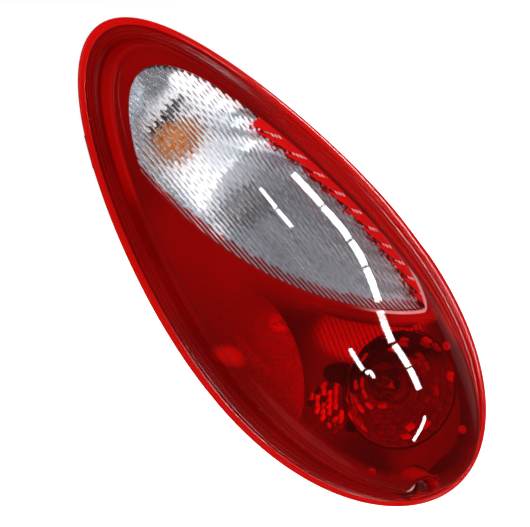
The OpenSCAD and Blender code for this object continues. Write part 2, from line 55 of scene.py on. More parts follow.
# The lamp's own frame: x to the right, y up the lamp from its mid length, z out through the lens, in mm.
# The same shape rules as the part's source, with its sizes.
lamp = dict(length=441.0, width=192.0, taperA=0.228, taperB=0.016, taperC=0.067, bow=5.8, topScale=1.15, lowScale=0.75,
    screwIn=17.3, screwTurn=199.4, seat=7.0)
rim = dict(thick=3.0, lip=5.5, lipHigh=0.9, wallIn=14.5, wallHigh=22.0, wallLean=3.5, shoulder=3.5, shoulderHigh=5.0, skin=3.0)
crown = dict(top=11.0, low=38.0)
window = dict(left=-40.0, right=68.5, turn=114.5, drop=204.0, corner=14.0, level=0.935, flutes=41, fluteDeep=0.5, brick=8.6, brickDeep=0.5)
tub = dict(back=-33.0, floor=-30.6, portR=15.0, inset=28.0)
stop = dict(x=12.87, y=-126.5, r=44.0, low=-10.0, apron=18.0)
dish = dict(low=-5.0, focus=44.0, blend=12.0, gap=6.0, thick=2.0)
bulbs = dict(turn=(-4.2, 124.5), reverse=(8.82, 49.5), stop=(12.87, -126.5))
reflex = dict(x=-122.6, y=-11.8, r=97.5, low=-91.5, high=75.5, thick=2.6, pitch=2.35, cellHigh=0.55)


def taper(u):
    return 1 - lamp["taperA"] * u + lamp["taperB"] * (1 - u * u) + lamp["taperC"] * u ** 3


def peakWidth():
    u = np.linspace(-1, 1, 401)
    return (taper(u) * np.sqrt(1 - u * u)).max()


peak = peakWidth()


def sway(u):
    return lamp["bow"] * (u * u - 1 / 6)


def rimInset(i):
    return i * lamp["topScale"], i, i * lamp["lowScale"]


def eggSizes(inset):
    top, side, low = inset
    return (lamp["length"] - top - low) / 2, (low - top) / 2, (lamp["width"] / 2 - side) / peak


def eggPoint(inset, angle):
    halfLong, mid, halfWide = eggSizes(inset)
    u = np.cos(angle)
    return halfWide * taper(u) * np.sin(angle) + sway(u), mid + halfLong * u


def sideAt(inset, y, way=1):
    halfLong, mid, halfWide = eggSizes(inset)
    u = np.clip((y - mid) / halfLong, -1, 1)
    return way * halfWide * taper(u) * np.sqrt(1 - u * u) + sway(u)


def reach(inset, x, y):
    halfLong, mid, halfWide = eggSizes(inset)
    u = (y - mid) / halfLong
    c = np.clip(u, -1, 1)
    return np.hypot(u, (x - sway(c)) / (halfWide * taper(c))), u


screwX, screwY = eggPoint((lamp["screwIn"],) * 3, math.radians(lamp["screwTurn"]))


def toFrame(x, y, z):
    x, y, z = np.broadcast_arrays(x, y, z)
    return np.stack([x - screwX, -z, y - screwY], -1) / 1000.0


shoulderIn = rim["wallIn"] + rim["wallLean"] + rim["shoulder"]
shoulderZ = lamp["seat"] + rim["wallHigh"] + rim["shoulderHigh"]


def crownZ(inset, base, x, y):
    r, u = reach(inset, x, y)
    k = np.clip((1 - u) / 2, 0, 1)
    return base + (crown["top"] + (crown["low"] - crown["top"]) * k) * np.sqrt(np.maximum(0, 1 - np.minimum(1, r) ** (3.4 - 1.3 * k)))


def outerZ(x, y):
    return crownZ(rimInset(shoulderIn), shoulderZ, x, y)


def innerZ(x, y):
    return crownZ(rimInset(shoulderIn + rim["skin"]), shoulderZ - rim["skin"], x, y)


def solve(inside, low, high, steps=30):
    low, high = low.copy(), high.copy()
    for _ in range(steps):
        mid = (low + high) / 2
        yes = inside(mid)
        low = np.where(yes, mid, low)
        high = np.where(yes, high, mid)
    return (low + high) / 2


def windowLow(x):
    t = np.clip((x - window["left"]) / (window["right"] - window["left"]), 0, 1)
    sweep = (1 - (1 - t) ** 1.3) ** 0.53
    return window["turn"] - window["drop"] * sweep + 2 * window["corner"] * np.maximum(0, (x - window["right"]) / window["corner"] + 1) ** 2


def windowHigh(x):
    inset = rimInset(shoulderIn)
    return solve(lambda y: reach(inset, x, y)[0] < window["level"], np.full_like(x, -lamp["length"] / 10), np.full_like(x, lamp["length"] / 2))


def makeObject(name, verts, faces, smooth=True):
    mesh = bpy.data.meshes.new(name)
    mesh.from_pydata([tuple(v) for v in verts], [], faces)
    mesh.validate()
    obj = bpy.data.objects.new(name, mesh)
    bpy.context.scene.collection.objects.link(obj)
    if smooth:
        mesh.shade_smooth()
    return obj


def gridFaces(rows, cols, start=0, closedRows=False, closedCols=False, flip=False):
    faces = []
    for i in range(rows if closedRows else rows - 1):
        for j in range(cols if closedCols else cols - 1):
            a, b = start + i * cols + j, start + i * cols + (j + 1) % cols
            c, d = start + (i + 1) % rows * cols + (j + 1) % cols, start + (i + 1) % rows * cols + j
            faces.append((a, d, c, b) if flip else (a, b, c, d))
    return faces


def slabParts(front, back):
    # closed slab between two grids of points, each n by m by 3
    n, m = front.shape[:2]
    verts = np.concatenate([front.reshape(-1, 3), back.reshape(-1, 3)])
    faces = gridFaces(n, m, 0) + gridFaces(n, m, n * m, flip=True)
    around = [(i, 0) for i in range(n)] + [(n - 1, j) for j in range(1, m)] + [(i, m - 1) for i in range(n - 2, -1, -1)] + [(0, j) for j in range(m - 2, 0, -1)]
    for a, b in zip(around, around[1:] + around[:1]):
        p, q = a[0] * m + a[1], b[0] * m + b[1]
        faces.append((p, q, q + n * m, p + n * m))
    return verts, faces, len(around)


def markEdge(obj, count, material):
    # the slab's side faces come last
    obj.data.materials.append(material)
    total = len(obj.data.polygons)
    for k in range(total - count, total):
        obj.data.polygons[k].material_index = 1


def tidyMesh(obj, distance=1e-7):
    bm = bmesh.new()
    bm.from_mesh(obj.data)
    bmesh.ops.remove_doubles(bm, verts=bm.verts, dist=distance)
    bmesh.ops.dissolve_degenerate(bm, edges=bm.edges, dist=distance)
    bmesh.ops.recalc_face_normals(bm, faces=bm.faces)
    bm.to_mesh(obj.data)
    bm.free()


def sharpenByAngle(obj, degrees):
    bpy.ops.object.select_all(action="DESELECT")
    bpy.context.view_layer.objects.active = obj
    obj.select_set(True)
    bpy.ops.object.shade_smooth_by_angle(angle=math.radians(degrees))


def plainMesh(obj):
    graph = bpy.context.evaluated_depsgraph_get()
    mesh = bpy.data.meshes.new_from_object(obj.evaluated_get(graph))
    old = obj.data
    obj.modifiers.clear()
    obj.data = mesh
    if old.users == 0:
        bpy.data.meshes.remove(old)


def boolean(obj, tool, operation, solver="EXACT"):
    cut = obj.modifiers.new("cut", "BOOLEAN")
    cut.object = tool
    cut.operation = operation
    cut.solver = solver
    plainMesh(obj)
    bpy.data.objects.remove(tool)


def lathe(name, profile, x, y, turns=96):
    # closed solid of revolution about the lamp's z axis through x, y
    a = np.linspace(0, 2 * np.pi, turns, endpoint=False)
    rings = [toFrame(x + r * np.cos(a), y + r * np.sin(a), z) for r, z in profile if r > 0]
    verts = list(np.concatenate(rings))
    faces = gridFaces(len(rings), turns, closedRows=profile[0][0] > 0, closedCols=True)
    if profile[0][0] == 0:
        low, high = len(verts), len(verts) + 1
        verts += [toFrame(x, y, profile[0][1]), toFrame(x, y, profile[-1][1])]
        last = (len(rings) - 1) * turns
        faces += [(low, (j + 1) % turns, j) for j in range(turns)] + [(high, last + j, last + (j + 1) % turns) for j in range(turns)]
    obj = makeObject(name, verts, faces)
    tidyMesh(obj)
    return obj


def joinObjects(target, others):
    bpy.ops.object.select_all(action="DESELECT")
    for obj in [target] + others:
        obj.select_set(True)
    bpy.context.view_layer.objects.active = target
    bpy.ops.object.join()
    return target


def floatLayer(obj, name, values):
    layer = obj.data.attributes.new(name, "FLOAT", "POINT")
    layer.data.foreach_set("value", np.ascontiguousarray(values, dtype=np.float32).ravel())


# Shader maths as plain expressions

class Sock:
    def __init__(self, tree, socket):
        self.tree, self.socket = tree, socket

    def maths(self, operation, *others):
        return node(self.tree, "ShaderNodeMath", {"operation": operation}, {i: v for i, v in enumerate((self,) + others)})

    def __add__(self, other): return self.maths("ADD", other)
    def __radd__(self, other): return self.maths("ADD", other)
    def __sub__(self, other): return self.maths("SUBTRACT", other)
    def __mul__(self, other): return self.maths("MULTIPLY", other)
    def __rmul__(self, other): return self.maths("MULTIPLY", other)
    def __truediv__(self, other): return self.maths("DIVIDE", other)
    def __pow__(self, other): return self.maths("POWER", other)

    def __rsub__(self, other):
        return node(self.tree, "ShaderNodeMath", {"operation": "SUBTRACT"}, {0: other, 1: self})

    def fract(self):
        return self.maths("FRACT")

    def above(self, value):
        return self.maths("GREATER_THAN", value)

    def below(self, value):
        return self.maths("LESS_THAN", value)

    def step(self, low, high):
        return node(self.tree, "ShaderNodeMapRange", {"interpolation_type": "SMOOTHSTEP"}, {0: self, 1: low, 2: high, 3: 0.0, 4: 1.0})


def link(tree, value, socket):
    if isinstance(value, Sock):
        tree.links.new(value.socket, socket)
    elif value is not None:
        socket.default_value = value


def node(tree, kind, settings=None, inputs=None, out=0):
    made = tree.nodes.new(kind)
    for key, value in (settings or {}).items():
        setattr(made, key, value)
    for key, value in (inputs or {}).items():
        link(tree, value, made.inputs[key])
    return Sock(tree, made.outputs[out])


def mixColour(tree, mask, a, b):
    return node(tree, "ShaderNodeMix", {"data_type": "RGBA"}, {0: mask, 6: a, 7: b}, 2)


def noise(tree, place, scale, detail=2.0, rough=0.5):
    return node(tree, "ShaderNodeTexNoise", {}, {"Vector": place, "Scale": scale, "Detail": detail, "Roughness": rough})


def bump(tree, height, strength, distance):
    return node(tree, "ShaderNodeBump", {}, {"Strength": strength, "Distance": distance, "Height": height})


def attribute(tree, name):
    return node(tree, "ShaderNodeAttribute", {"attribute_name": name}, out=2)


def newMaterial(name):
    material = bpy.data.materials.new(name)
    material.use_nodes = True
    tree = material.node_tree
    tree.nodes.clear()
    output = tree.nodes.new("ShaderNodeOutputMaterial")
    place = node(tree, "ShaderNodeTexCoord", out=3)
    return material, tree, output, place


def principled(tree, **values):
    made = tree.nodes.new("ShaderNodeBsdfPrincipled")
    for key, value in values.items():
        link(tree, value, made.inputs[key])
    return Sock(tree, made.outputs[0])


def finishMaterial(tree, output, shader):
    tree.links.new(shader.socket, output.inputs[0])


def lampAxes(tree, place):
    # the lamp's own x, y and z in mm
    split = tree.nodes.new("ShaderNodeSeparateXYZ")
    link(tree, place, split.inputs[0])
    x, y, z = [Sock(tree, s) for s in split.outputs]
    return x * 1000.0 + screwX, z * 1000.0 + screwY, y * -1000.0


def blob(tree, x, y, centreX, centreY, radiusX, radiusY, turn=0.0, soft=0.5):
    # 1 inside an oval patch, 0 outside
    c, s = math.cos(math.radians(turn)), math.sin(math.radians(turn))
    dx, dy = x - centreX, y - centreY
    u, v = (dx * c + dy * s) / radiusX, (dy * c - dx * s) / radiusY
    return 1.0 - (u * u + v * v).step(1 - soft, 1 + soft)


def letShadowThrough(tree, shader, colour, share):
    # light crosses a thin moulding almost straight, so shadow rays pass as through tinted film
    path = node(tree, "ShaderNodeLightPath", out=1)
    film = node(tree, "ShaderNodeBsdfTransparent", {}, {"Color": colour})
    return node(tree, "ShaderNodeMixShader", {}, {0: path * share, 1: shader, 2: film})


# Materials

def redLensMaterial():
    look = dict(red=(0.29, 0.0012, 0.0012, 1), deep=(0.2, 0.001, 0.001, 1), lip=(0.66, 0.003, 0.002, 1), clear=(0.85, 0.004, 0.004, 1), film=(0.92, 0.006, 0.005, 1))
    material, tree, output, place = newMaterial("redAcrylic")
    x, y, z = lampAxes(tree, place)
    flow = noise(tree, place, 11.0, 3.0)
    scuff = noise(tree, place, 260.0, 4.0, 0.7)
    inset, opening = attribute(tree, "inset"), attribute(tree, "opening")
    # painted light: the lip is painted brighter red, partly for its thinner moulding and partly as painted edge light;
    # the two rim ridges get a lighter painted highlight, and a band along the upper left wall a painted glint
    edge = 1.0 - inset.step(4.4, 6.0)
    paintedRidgeLight = (inset - 8.65).maths("ABSOLUTE").below(0.45).maths("MAXIMUM", (inset - 11.05).maths("ABSOLUTE").below(0.4))
    colour = mixColour(tree, flow.step(0.35, 0.65), look["red"], look["deep"])
    paintedWallGlint = inset.step(15.3, 16.4) * (1.0 - inset.step(18.8, 20.6)) * (0.85 - 0.6 * x.step(-40.0, 30.0)) * y.step(98.0, 135.0)
    colour = mixColour(tree, edge.maths("MAXIMUM", paintedRidgeLight * 0.35).maths("MAXIMUM", paintedWallGlint), colour, look["lip"])
    # painted light: a lighter red patch on the crown over the bright fluted field of the stop reflector
    colour = mixColour(tree, blob(tree, x, y, 34.0, -88.0, 46.0, 18.0, -34, 0.6) * inset.above(20.0), colour, (0.5, 0.003, 0.002, 1))
    # painted light: the rim and wall painted lighter red towards the right side
    colour = mixColour(tree, (x - y * 0.25).step(18.0, 62.0) * (1.0 - inset.step(24.0, 29.5)) * 0.75, colour, look["lip"])
    # painted highlight: a bright red spot over the reflex
    colour = mixColour(tree, blob(tree, x, y, -72.0, -14.0, 6.0, 9.0, 10, 0.95) * 0.7, colour, (0.7, 0.003, 0.002, 1))
    # painted shade: darker red round the screw pocket
    colour = mixColour(tree, blob(tree, x, y, screwX, screwY, 11.0, 11.0), colour, (0.12, 0.001, 0.001, 1))
    rough, ripple = 0.012 + 0.02 * scuff + 0.09 * (1.0 - inset.step(12.0, 19.0)), bump(tree, flow, 0.02, 0.002)
    solid = principled(tree, **{"Base Color": colour, "Roughness": rough, "IOR": 1.49, "Transmission Weight": 0.2, "Specular IOR Level": 0.25, "Normal": ripple})
    clear = principled(tree, **{"Base Color": look["clear"], "Roughness": rough, "IOR": 1.49, "Transmission Weight": 1.0, "Normal": ripple})
    shader = node(tree, "ShaderNodeMixShader", {}, {0: opening, 1: solid, 2: clear})
    finishMaterial(tree, output, letShadowThrough(tree, shader, look["film"], 0.85))
    return material


def seamMaterial():
    # the bonded joint between the red and the clear moulding, painted paler towards the low right end as painted light
    material, tree, output, place = newMaterial("bondedSeam")
    x, y, z = lampAxes(tree, place)
    grain = noise(tree, place, 300.0, 2.0)
    pale = x.step(10.0, 45.0) * (1.0 - y.step(-50.0, -20.0))
    colour = mixColour(tree, pale, (0.3, 0.01, 0.01, 1), (0.75, 0.22, 0.22, 1))
    finishMaterial(tree, output, principled(tree, **{"Base Color": mixColour(tree, grain.step(0.4, 0.6), colour, (0.4, 0.02, 0.02, 1)), "Roughness": 0.35 + 0.1 * grain}))
    return material


def clearLensMaterial():
    look = dict(clear=(0.97, 0.98, 0.99, 1), red=(0.62, 0.004, 0.004, 1), film=(0.9, 0.91, 0.92, 1), bond=(0.3, 0.003, 0.003, 1), sideBond=(0.7, 0.005, 0.005, 1), paintedBondLight=(0.8, 0.3, 0.3, 1), teeth=9.0, sideBand=12.0, notchPitch=9.0, paintedGapLight=(0.8, 0.62, 0.62, 1))
    material, tree, output, place = newMaterial("clearAcrylic")
    scuff = noise(tree, place, 260.0, 4.0, 0.7)
    across, low, side, along = (attribute(tree, n) for n in ("across", "low", "side", "along"))
    wobble = noise(tree, place, 160.0, 1.0)
    phase = across.fract()
    x, y, z = lampAxes(tree, place)
    tooth = low.below(look["teeth"] * (0.55 + 0.9 * wobble)) * (phase + low * 0.05).fract().below(0.5)
    dash = side.below(look["sideBand"] * (0.2 + 1.2 * wobble)) * (along.fract()).below(0.78)
    notch = ((x * 0.817 + y * 0.576) / look["notchPitch"]).fract()
    # painted light: pale slivers across the side teeth, standing in for light seen through the gaps
    sliver = notch.below(0.2) * (across * 1.5).fract().below(0.45)
    border = low.below(2.0).maths("MAXIMUM", (side - notch * 4.5).below(5.0))
    mask = tooth.maths("MAXIMUM", dash)
    # painted light: the bond painted paler along the low right end of the border
    pale = x.step(12.0, 40.0) * (1.0 - y.step(-52.0, -25.0)) * low.below(3.0)
    shader = principled(tree, **{"Base Color": mixColour(tree, mask, look["clear"], look["red"]), "Roughness": 0.01 + 0.02 * scuff, "IOR": 1.49,
        "Transmission Weight": 1.0})
    bonded = principled(tree, **{"Base Color": mixColour(tree, pale, mixColour(tree, side.below(20.0), look["bond"], mixColour(tree, sliver * side.above(1.5), look["sideBond"], look["paintedGapLight"])), look["paintedBondLight"]), "Roughness": 0.02 + 0.02 * scuff, "IOR": 1.49,
        "Transmission Weight": 0.3})
    shader = node(tree, "ShaderNodeMixShader", {}, {0: border, 1: shader, 2: bonded})
    finishMaterial(tree, output, letShadowThrough(tree, shader, look["film"], 0.92))
    return material


def prismMaterial():
    look = dict(red=(0.36, 0.006, 0.006, 1), deep=(0.24, 0.004, 0.004, 1), bright=(0.9, 0.03, 0.03, 1))
    material, tree, output, place = newMaterial("redPrism")
    x, y, z = lampAxes(tree, place)
    flow = noise(tree, place, 14.0, 2.0)
    # painted highlights: two bright patches on the reflex prisms, mottled with noise
    glow = blob(tree, x, y, -73.0, -13.0, 10.0, 14.0, 20, 0.7).maths("MAXIMUM", blob(tree, x, y, -29.0, -21.0, 6.0, 8.0, 30, 0.7) * 0.6)
    colour = mixColour(tree, glow * noise(tree, place, 170.0, 2.0).step(0.35, 0.6), mixColour(tree, flow.step(0.4, 0.7), look["red"], look["deep"]), look["bright"])
    finishMaterial(tree, output, principled(tree, **{"Base Color": colour, "Roughness": 0.22, "Metallic": 0.35}))
    return material


def metalMaterial(name, colour, rough):
    material, tree, output, place = newMaterial(name)
    haze = noise(tree, place, 30.0, 4.0)
    grain = noise(tree, place, 900.0, 2.0)
    tint = mixColour(tree, haze.step(0.3, 0.75), colour, tuple(c * 0.86 for c in colour[:3]) + (1,))
    finishMaterial(tree, output, principled(tree, **{"Base Color": tint, "Metallic": 1.0, "Roughness": rough + 0.08 * haze,
        "Normal": bump(tree, grain, 0.05, 0.0005)}))
    return material


def dishMaterial():
    # bright vacuum metal with its reflections painted in: lighter and darker zones, white glare patches, painted shade,
    # lighter streaks, and the darker bands that the bowls show towards the right side
    look = dict(paintedGlare=(1, 1, 1, 1), bright=(0.86, 0.91, 0.97, 1), mid=(0.3, 0.33, 0.37, 1), dark=(0.19, 0.2, 0.225, 1), bandPitch=13.0)
    material, tree, output, place = newMaterial("metallised")
    x, y, z = lampAxes(tree, place)
    haze = noise(tree, place, 26.0, 3.0)
    x, y = x + (haze - 0.5) * 10.0, y + (haze - 0.5) * 10.0
    light = blob(tree, x, y, 14.0, 112.0, 40.0, 48.0, 0, 0.5)
    grey = blob(tree, x, y, 42.0, -22.0, 60.0, 72.0, 24, 0.4)
    paintedGlare = blob(tree, x, y, -10.0, 89.0, 13.0, 27.0, -12, 0.25)
    paintedGlare = paintedGlare.maths("MAXIMUM", blob(tree, x, y, 31.0, 141.0, 11.0, 27.0, 28, 0.25))
    paintedGlare = paintedGlare.maths("MAXIMUM", blob(tree, x, y, -20.0, 57.0, 5.0, 9.0, 20, 0.4) * 0.8)
    paintedGlare = paintedGlare.maths("MAXIMUM", blob(tree, x, y, 5.0, 150.0, 22.0, 4.0, 24, 0.4) * 0.6)
    shade = blob(tree, x, y, 6.0, 141.0, 25.0, 4.0, 20, 0.4)
    shade = shade.maths("MAXIMUM", blob(tree, x, y, 10.0, 170.0, 16.0, 11.0, 40, 0.6) * 0.8)
    shade = shade.maths("MAXIMUM", blob(tree, x, y, 34.0, 70.0, 16.0, 12.0, 0, 0.6) * 0.15)
    shade = shade.maths("MAXIMUM", blob(tree, x, y, -34.0, 108.0, 9.0, 24.0, 0, 0.7) * 0.45)
    shade = shade.maths("MAXIMUM", blob(tree, x, y, -18.0, 148.0, 10.0, 16.0, 0, 0.7) * 0.45)
    run = (x * 0.76 + y * 0.65) / look["bandPitch"]
    streak = ((run * 2.3 + haze * 2.0).fract() - 0.5).maths("ABSOLUTE").step(0.12, 0.45) * x.step(-8.0, 14.0)
    band = (run.fract() - 0.5).maths("ABSOLUTE").step(0.22, 0.34) * (x + y * 0.1).step(16.0, 42.0)
    colour = mixColour(tree, light, look["mid"], look["bright"])
    colour = mixColour(tree, streak * 0.5, colour, (0.42, 0.47, 0.53, 1))
    colour = mixColour(tree, grey, colour, look["dark"])
    colour = mixColour(tree, shade, colour, (0.07, 0.07, 0.075, 1))
    colour = mixColour(tree, band * (1.0 - y.step(112.0, 128.0)) * 0.75, colour, (0.07, 0.07, 0.075, 1))
    colour = mixColour(tree, paintedGlare, colour, look["paintedGlare"])
    # painted reflection: amber round the turn bulb's port
    colour = mixColour(tree, blob(tree, x, y, -1.0, 121.0, 18.0, 16.0, 0, 0.3), colour, (0.46, 0.13, 0.004, 1))
    finishMaterial(tree, output, principled(tree, **{"Base Color": colour, "Metallic": 0.12, "Roughness": 0.3 + 0.15 * haze}))
    return material


def bowlMaterial(name, tiled):
    # the stop light's reflector, dark towards the top and mid tone below as painted reflection, with tiles painted
    # bright as painted highlights
    material, tree, output, place = newMaterial(name)
    x, y, z = lampAxes(tree, place)
    haze = noise(tree, place, 20.0, 3.0)
    lower = 1.0 - (y + (haze - 0.5) * 24.0 + (x - 12.9) * 0.3).step(-134.0, -112.0)
    colour = mixColour(tree, lower, (0.012, 0.012, 0.013, 1), (0.2, 0.2, 0.2, 1))
    if tiled:
        shade = attribute(tree, "shade")
        colour = mixColour(tree, shade, colour, (0.95, 0.95, 0.95, 1))
    finishMaterial(tree, output, principled(tree, **{"Base Color": colour, "Metallic": 0.3, "Roughness": 0.22 + 0.1 * haze}))
    return material


def apronMaterial():
    # mid tone apron; a fluted field above the bowl painted bright as painted reflection, crossed by thin lines of
    # painted shade; and black patches beside it
    material, tree, output, place = newMaterial("apronMetal")
    x, y, z = lampAxes(tree, place)
    haze = noise(tree, place, 18.0, 3.0)
    field = blob(tree, x, y, 24.0, -76.0, 42.0, 24.0, -36, 0.35)
    run = ((x * 0.962 - y * 0.287) / 3.6).fract()
    line = 1.0 - (run - 0.5).maths("ABSOLUTE").step(0.3, 0.42)
    patch = blob(tree, x, y, -14.0, -87.5, 15.0, 8.5, -48, 0.2)
    patch = patch.maths("MAXIMUM", blob(tree, x, y, -41.0, -97.0, 5.0, 7.0, 0, 0.2))
    patch = patch.maths("MAXIMUM", blob(tree, x, y, -32.0, -123.0, 6.0, 5.0, -30, 0.2))
    patch = patch.maths("MAXIMUM", blob(tree, x, y, -38.0, -148.0, 10.0, 22.0, 20, 0.8) * 0.6)
    colour = mixColour(tree, haze.step(0.35, 0.65), (0.1, 0.1, 0.1, 1), (0.17, 0.17, 0.17, 1))
    colour = mixColour(tree, field * (0.25 + 0.75 * line), colour, (0.6, 0.6, 0.6, 1))
    colour = mixColour(tree, patch, colour, (0.004, 0.004, 0.005, 1))
    finishMaterial(tree, output, principled(tree, **{"Base Color": colour, "Metallic": 0.0, "Roughness": 0.6 + 0.1 * haze, "Specular IOR Level": 0.1}))
    return material


def plasticMaterial(name, colour, rough, grainScale=700.0):
    material, tree, output, place = newMaterial(name)
    cloud = noise(tree, place, 12.0, 3.0)
    grain = noise(tree, place, grainScale, 3.0, 0.6)
    tint = mixColour(tree, cloud.step(0.3, 0.7), colour, tuple(c * 0.8 for c in colour[:3]) + (1,))
    finishMaterial(tree, output, principled(tree, **{"Base Color": tint, "Roughness": rough + 0.12 * grain,
        "Normal": bump(tree, grain, 0.25, 0.0004)}))
    return material


def glassMaterial(name, colour, film, rough, through):
    material, tree, output, place = newMaterial(name)
    haze = noise(tree, place, 60.0, 3.0)
    shader = principled(tree, **{"Base Color": mixColour(tree, haze.step(0.3, 0.8), colour, tuple(c * 0.9 for c in colour[:3]) + (1,)),
        "Roughness": rough + 0.03 * haze, "IOR": 1.5, "Transmission Weight": through})
    finishMaterial(tree, output, letShadowThrough(tree, shader, film, 0.8))
    return material


def foamMaterial():
    material, tree, output, place = newMaterial("blackFoam")
    cells = node(tree, "ShaderNodeTexVoronoi", {}, {"Vector": place, "Scale": 900.0})
    tint = mixColour(tree, cells.step(0.1, 0.6), (0.03, 0.03, 0.03, 1), (0.07, 0.07, 0.07, 1))
    finishMaterial(tree, output, principled(tree, **{"Base Color": tint, "Roughness": 0.9, "Normal": bump(tree, cells, 0.5, 0.0008)}))
    return material


print("materials")
redAcrylic = redLensMaterial()
clearAcrylic = clearLensMaterial()
redPrism = prismMaterial()
metallised = dishMaterial()
bondedSeam = seamMaterial()
bowlMetal = bowlMaterial("bowlMetal", False)
tileMetal = bowlMaterial("tileMetal", True)
apronMetal = apronMaterial()
zinc = plasticMaterial("zincPlate", (0.8, 0.8, 0.77, 1), 0.3)
brass = metalMaterial("brassBlade", (0.8, 0.62, 0.3, 1), 0.3)
tungsten = metalMaterial("tungsten", (0.45, 0.45, 0.46, 1), 0.35)
tubPlastic = plasticMaterial("tubPlastic", (0.05, 0.05, 0.055, 1), 0.45)
holderPlastic = plasticMaterial("holderPlastic", (0.14, 0.145, 0.155, 1), 0.4)
basePlastic = plasticMaterial("basePlastic", (0.07, 0.07, 0.075, 1), 0.35)
paleBase = plasticMaterial("paleBase", (0.62, 0.62, 0.6, 1), 0.3)
softRubber = plasticMaterial("softRubber", (0.025, 0.025, 0.025, 1), 0.65, 1400.0)
amberGlass = glassMaterial("amberGlass", (0.42, 0.11, 0.002, 1), (0.9, 0.35, 0.05, 1), 0.05, 0.12)
clearGlass = glassMaterial("clearGlass", (0.97, 0.98, 0.99, 1), (0.95, 0.96, 0.97, 1), 0.02, 1.0)
blackFoam = foamMaterial()


def setMaterial(obj, material):
    obj.data.materials.clear()
    obj.data.materials.append(material)


def windowGrid(columns, rows):
    x = np.linspace(window["left"], window["right"], columns + 1)
    low, high = windowLow(x), windowHigh(x)
    t = np.linspace(0, 1, rows + 1)
    gridX = np.repeat(x[:, None], rows + 1, 1)
    return gridX, low[:, None] + (high - low)[:, None] * t[None, :]


# Clear window: smooth outside, flutes of staggered pillows inside

def clearWindow():
    perFlute, rows = 6, 170
    x, y = windowGrid(window["flutes"] * perFlute, rows)
    front = outerZ(x, y)
    across = (x - window["left"]) / (window["right"] - window["left"]) * window["flutes"]
    number = np.floor(np.clip(across, 0, window["flutes"] - 1e-6))
    u = across - number
    along = y / window["brick"] + 0.5 * (number % 2)
    v = along - np.floor(along)
    ridge = np.sqrt(np.maximum(0, 1 - (2 * u - 1) ** 2)) * window["fluteDeep"] + (1 - (2 * v - 1) ** 2) * window["brickDeep"]
    back = front - rim["skin"] - ridge
    for edge in (np.s_[0, :], np.s_[-1, :], np.s_[:, 0], np.s_[:, -1]):
        back[edge] = front[edge] - rim["skin"]
    verts, faces, sideCount = slabParts(toFrame(x, y, front), toFrame(x, y, back))
    obj = makeObject("clearWindow", verts, faces)
    obj.data.materials.append(clearAcrylic)
    markEdge(obj, sideCount, bondedSeam)
    slope = np.gradient(windowLow(x[:, 0]), x[:, 0])[:, None]
    low = (y - windowLow(x)) / np.sqrt(1 + slope ** 2)
    side = (1 - reach(rimInset(shoulderIn), x, y)[0] - (1 - window["level"])) * 72.0
    side = np.where((x > 20) & (y < 104), side, 30.0)
    for name, values in (("across", across), ("low", low), ("side", side), ("along", along)):
        floatLayer(obj, name, np.concatenate([values.ravel(), values.ravel()]))
    tidyMesh(obj)
    sharpenByAngle(obj, 50)
    return obj


# Red lens: rim, wall and crown, from the outline in to the window border, with the screw pocket

def windowRing(columns=164, rows=40):
    x, y = windowGrid(columns, rows)
    top = [(x[i, -1], y[i, -1]) for i in range(columns + 1)]
    right = [(x[-1, j], y[-1, j]) for j in range(rows - 1, 0, -1)]
    low = [(x[i, 0], y[i, 0]) for i in range(columns, -1, -1)]
    left = [(x[0, j], y[0, j]) for j in range(1, rows)]
    return np.array(top + right + low + left)


def ringAt(ring, inset, hub=(22.0, 40.0)):
    way = ring - hub
    way = way / np.linalg.norm(way, axis=1)[:, None]
    far = solve(lambda t: reach(inset, hub[0] + way[:, 0] * t, hub[1] + way[:, 1] * t)[0] < 1, np.zeros(len(ring)), np.full(len(ring), 300.0))
    return hub + way * far[:, None]


def rimSection():
    t, w, h = rim["thick"], rim["wallIn"], rim["wallHigh"]
    lean, s, sh = rim["wallLean"], rim["shoulder"], rim["shoulderHigh"]
    return [(0.6, 0), (0.15, 0.3), (0, 0.8), (0, t - 1), (0.3, t - 0.3), (0.9, t), (2.8, t + 0.25), (rim["lip"] - 0.5, t + 0.3), (rim["lip"], t + 0.2),
        (rim["lip"] + 0.7, t - rim["lipHigh"] + 0.4), (rim["lip"] + 1.2, t - rim["lipHigh"] + 0.3), (8.0, t - 0.5), (8.4, t - 0.05), (8.9, t - 0.05), (9.3, t - 0.5),
        (10.4, t - 0.5), (10.8, t), (11.3, t), (11.7, t - 0.45), (w - 1, t), (w - 0.2, t + 0.5), (w + 0.4, t + 1.6), (w + 0.9, t + 4), (w + 0.55 * lean, 0.55 * h),
        (w + 0.85 * lean, 0.85 * h), (w + lean, h), (w + lean + 0.12 * s, h + 0.35 * sh), (w + lean + 0.32 * s, h + 0.65 * sh), (w + lean + 0.6 * s, h + 0.87 * sh), (shoulderIn, h + sh)]


def lensTopZ(x, y):
    section = np.array(rimSection())
    inset = solve(lambda t: reach((t * lamp["topScale"], t, t * lamp["lowScale"]), x, y)[0] < 1, np.zeros_like(x), np.full_like(x, 60.0))
    return np.where(inset < shoulderIn, lamp["seat"] + np.interp(inset, section[5:, 0], section[5:, 1]), outerZ(x, y))


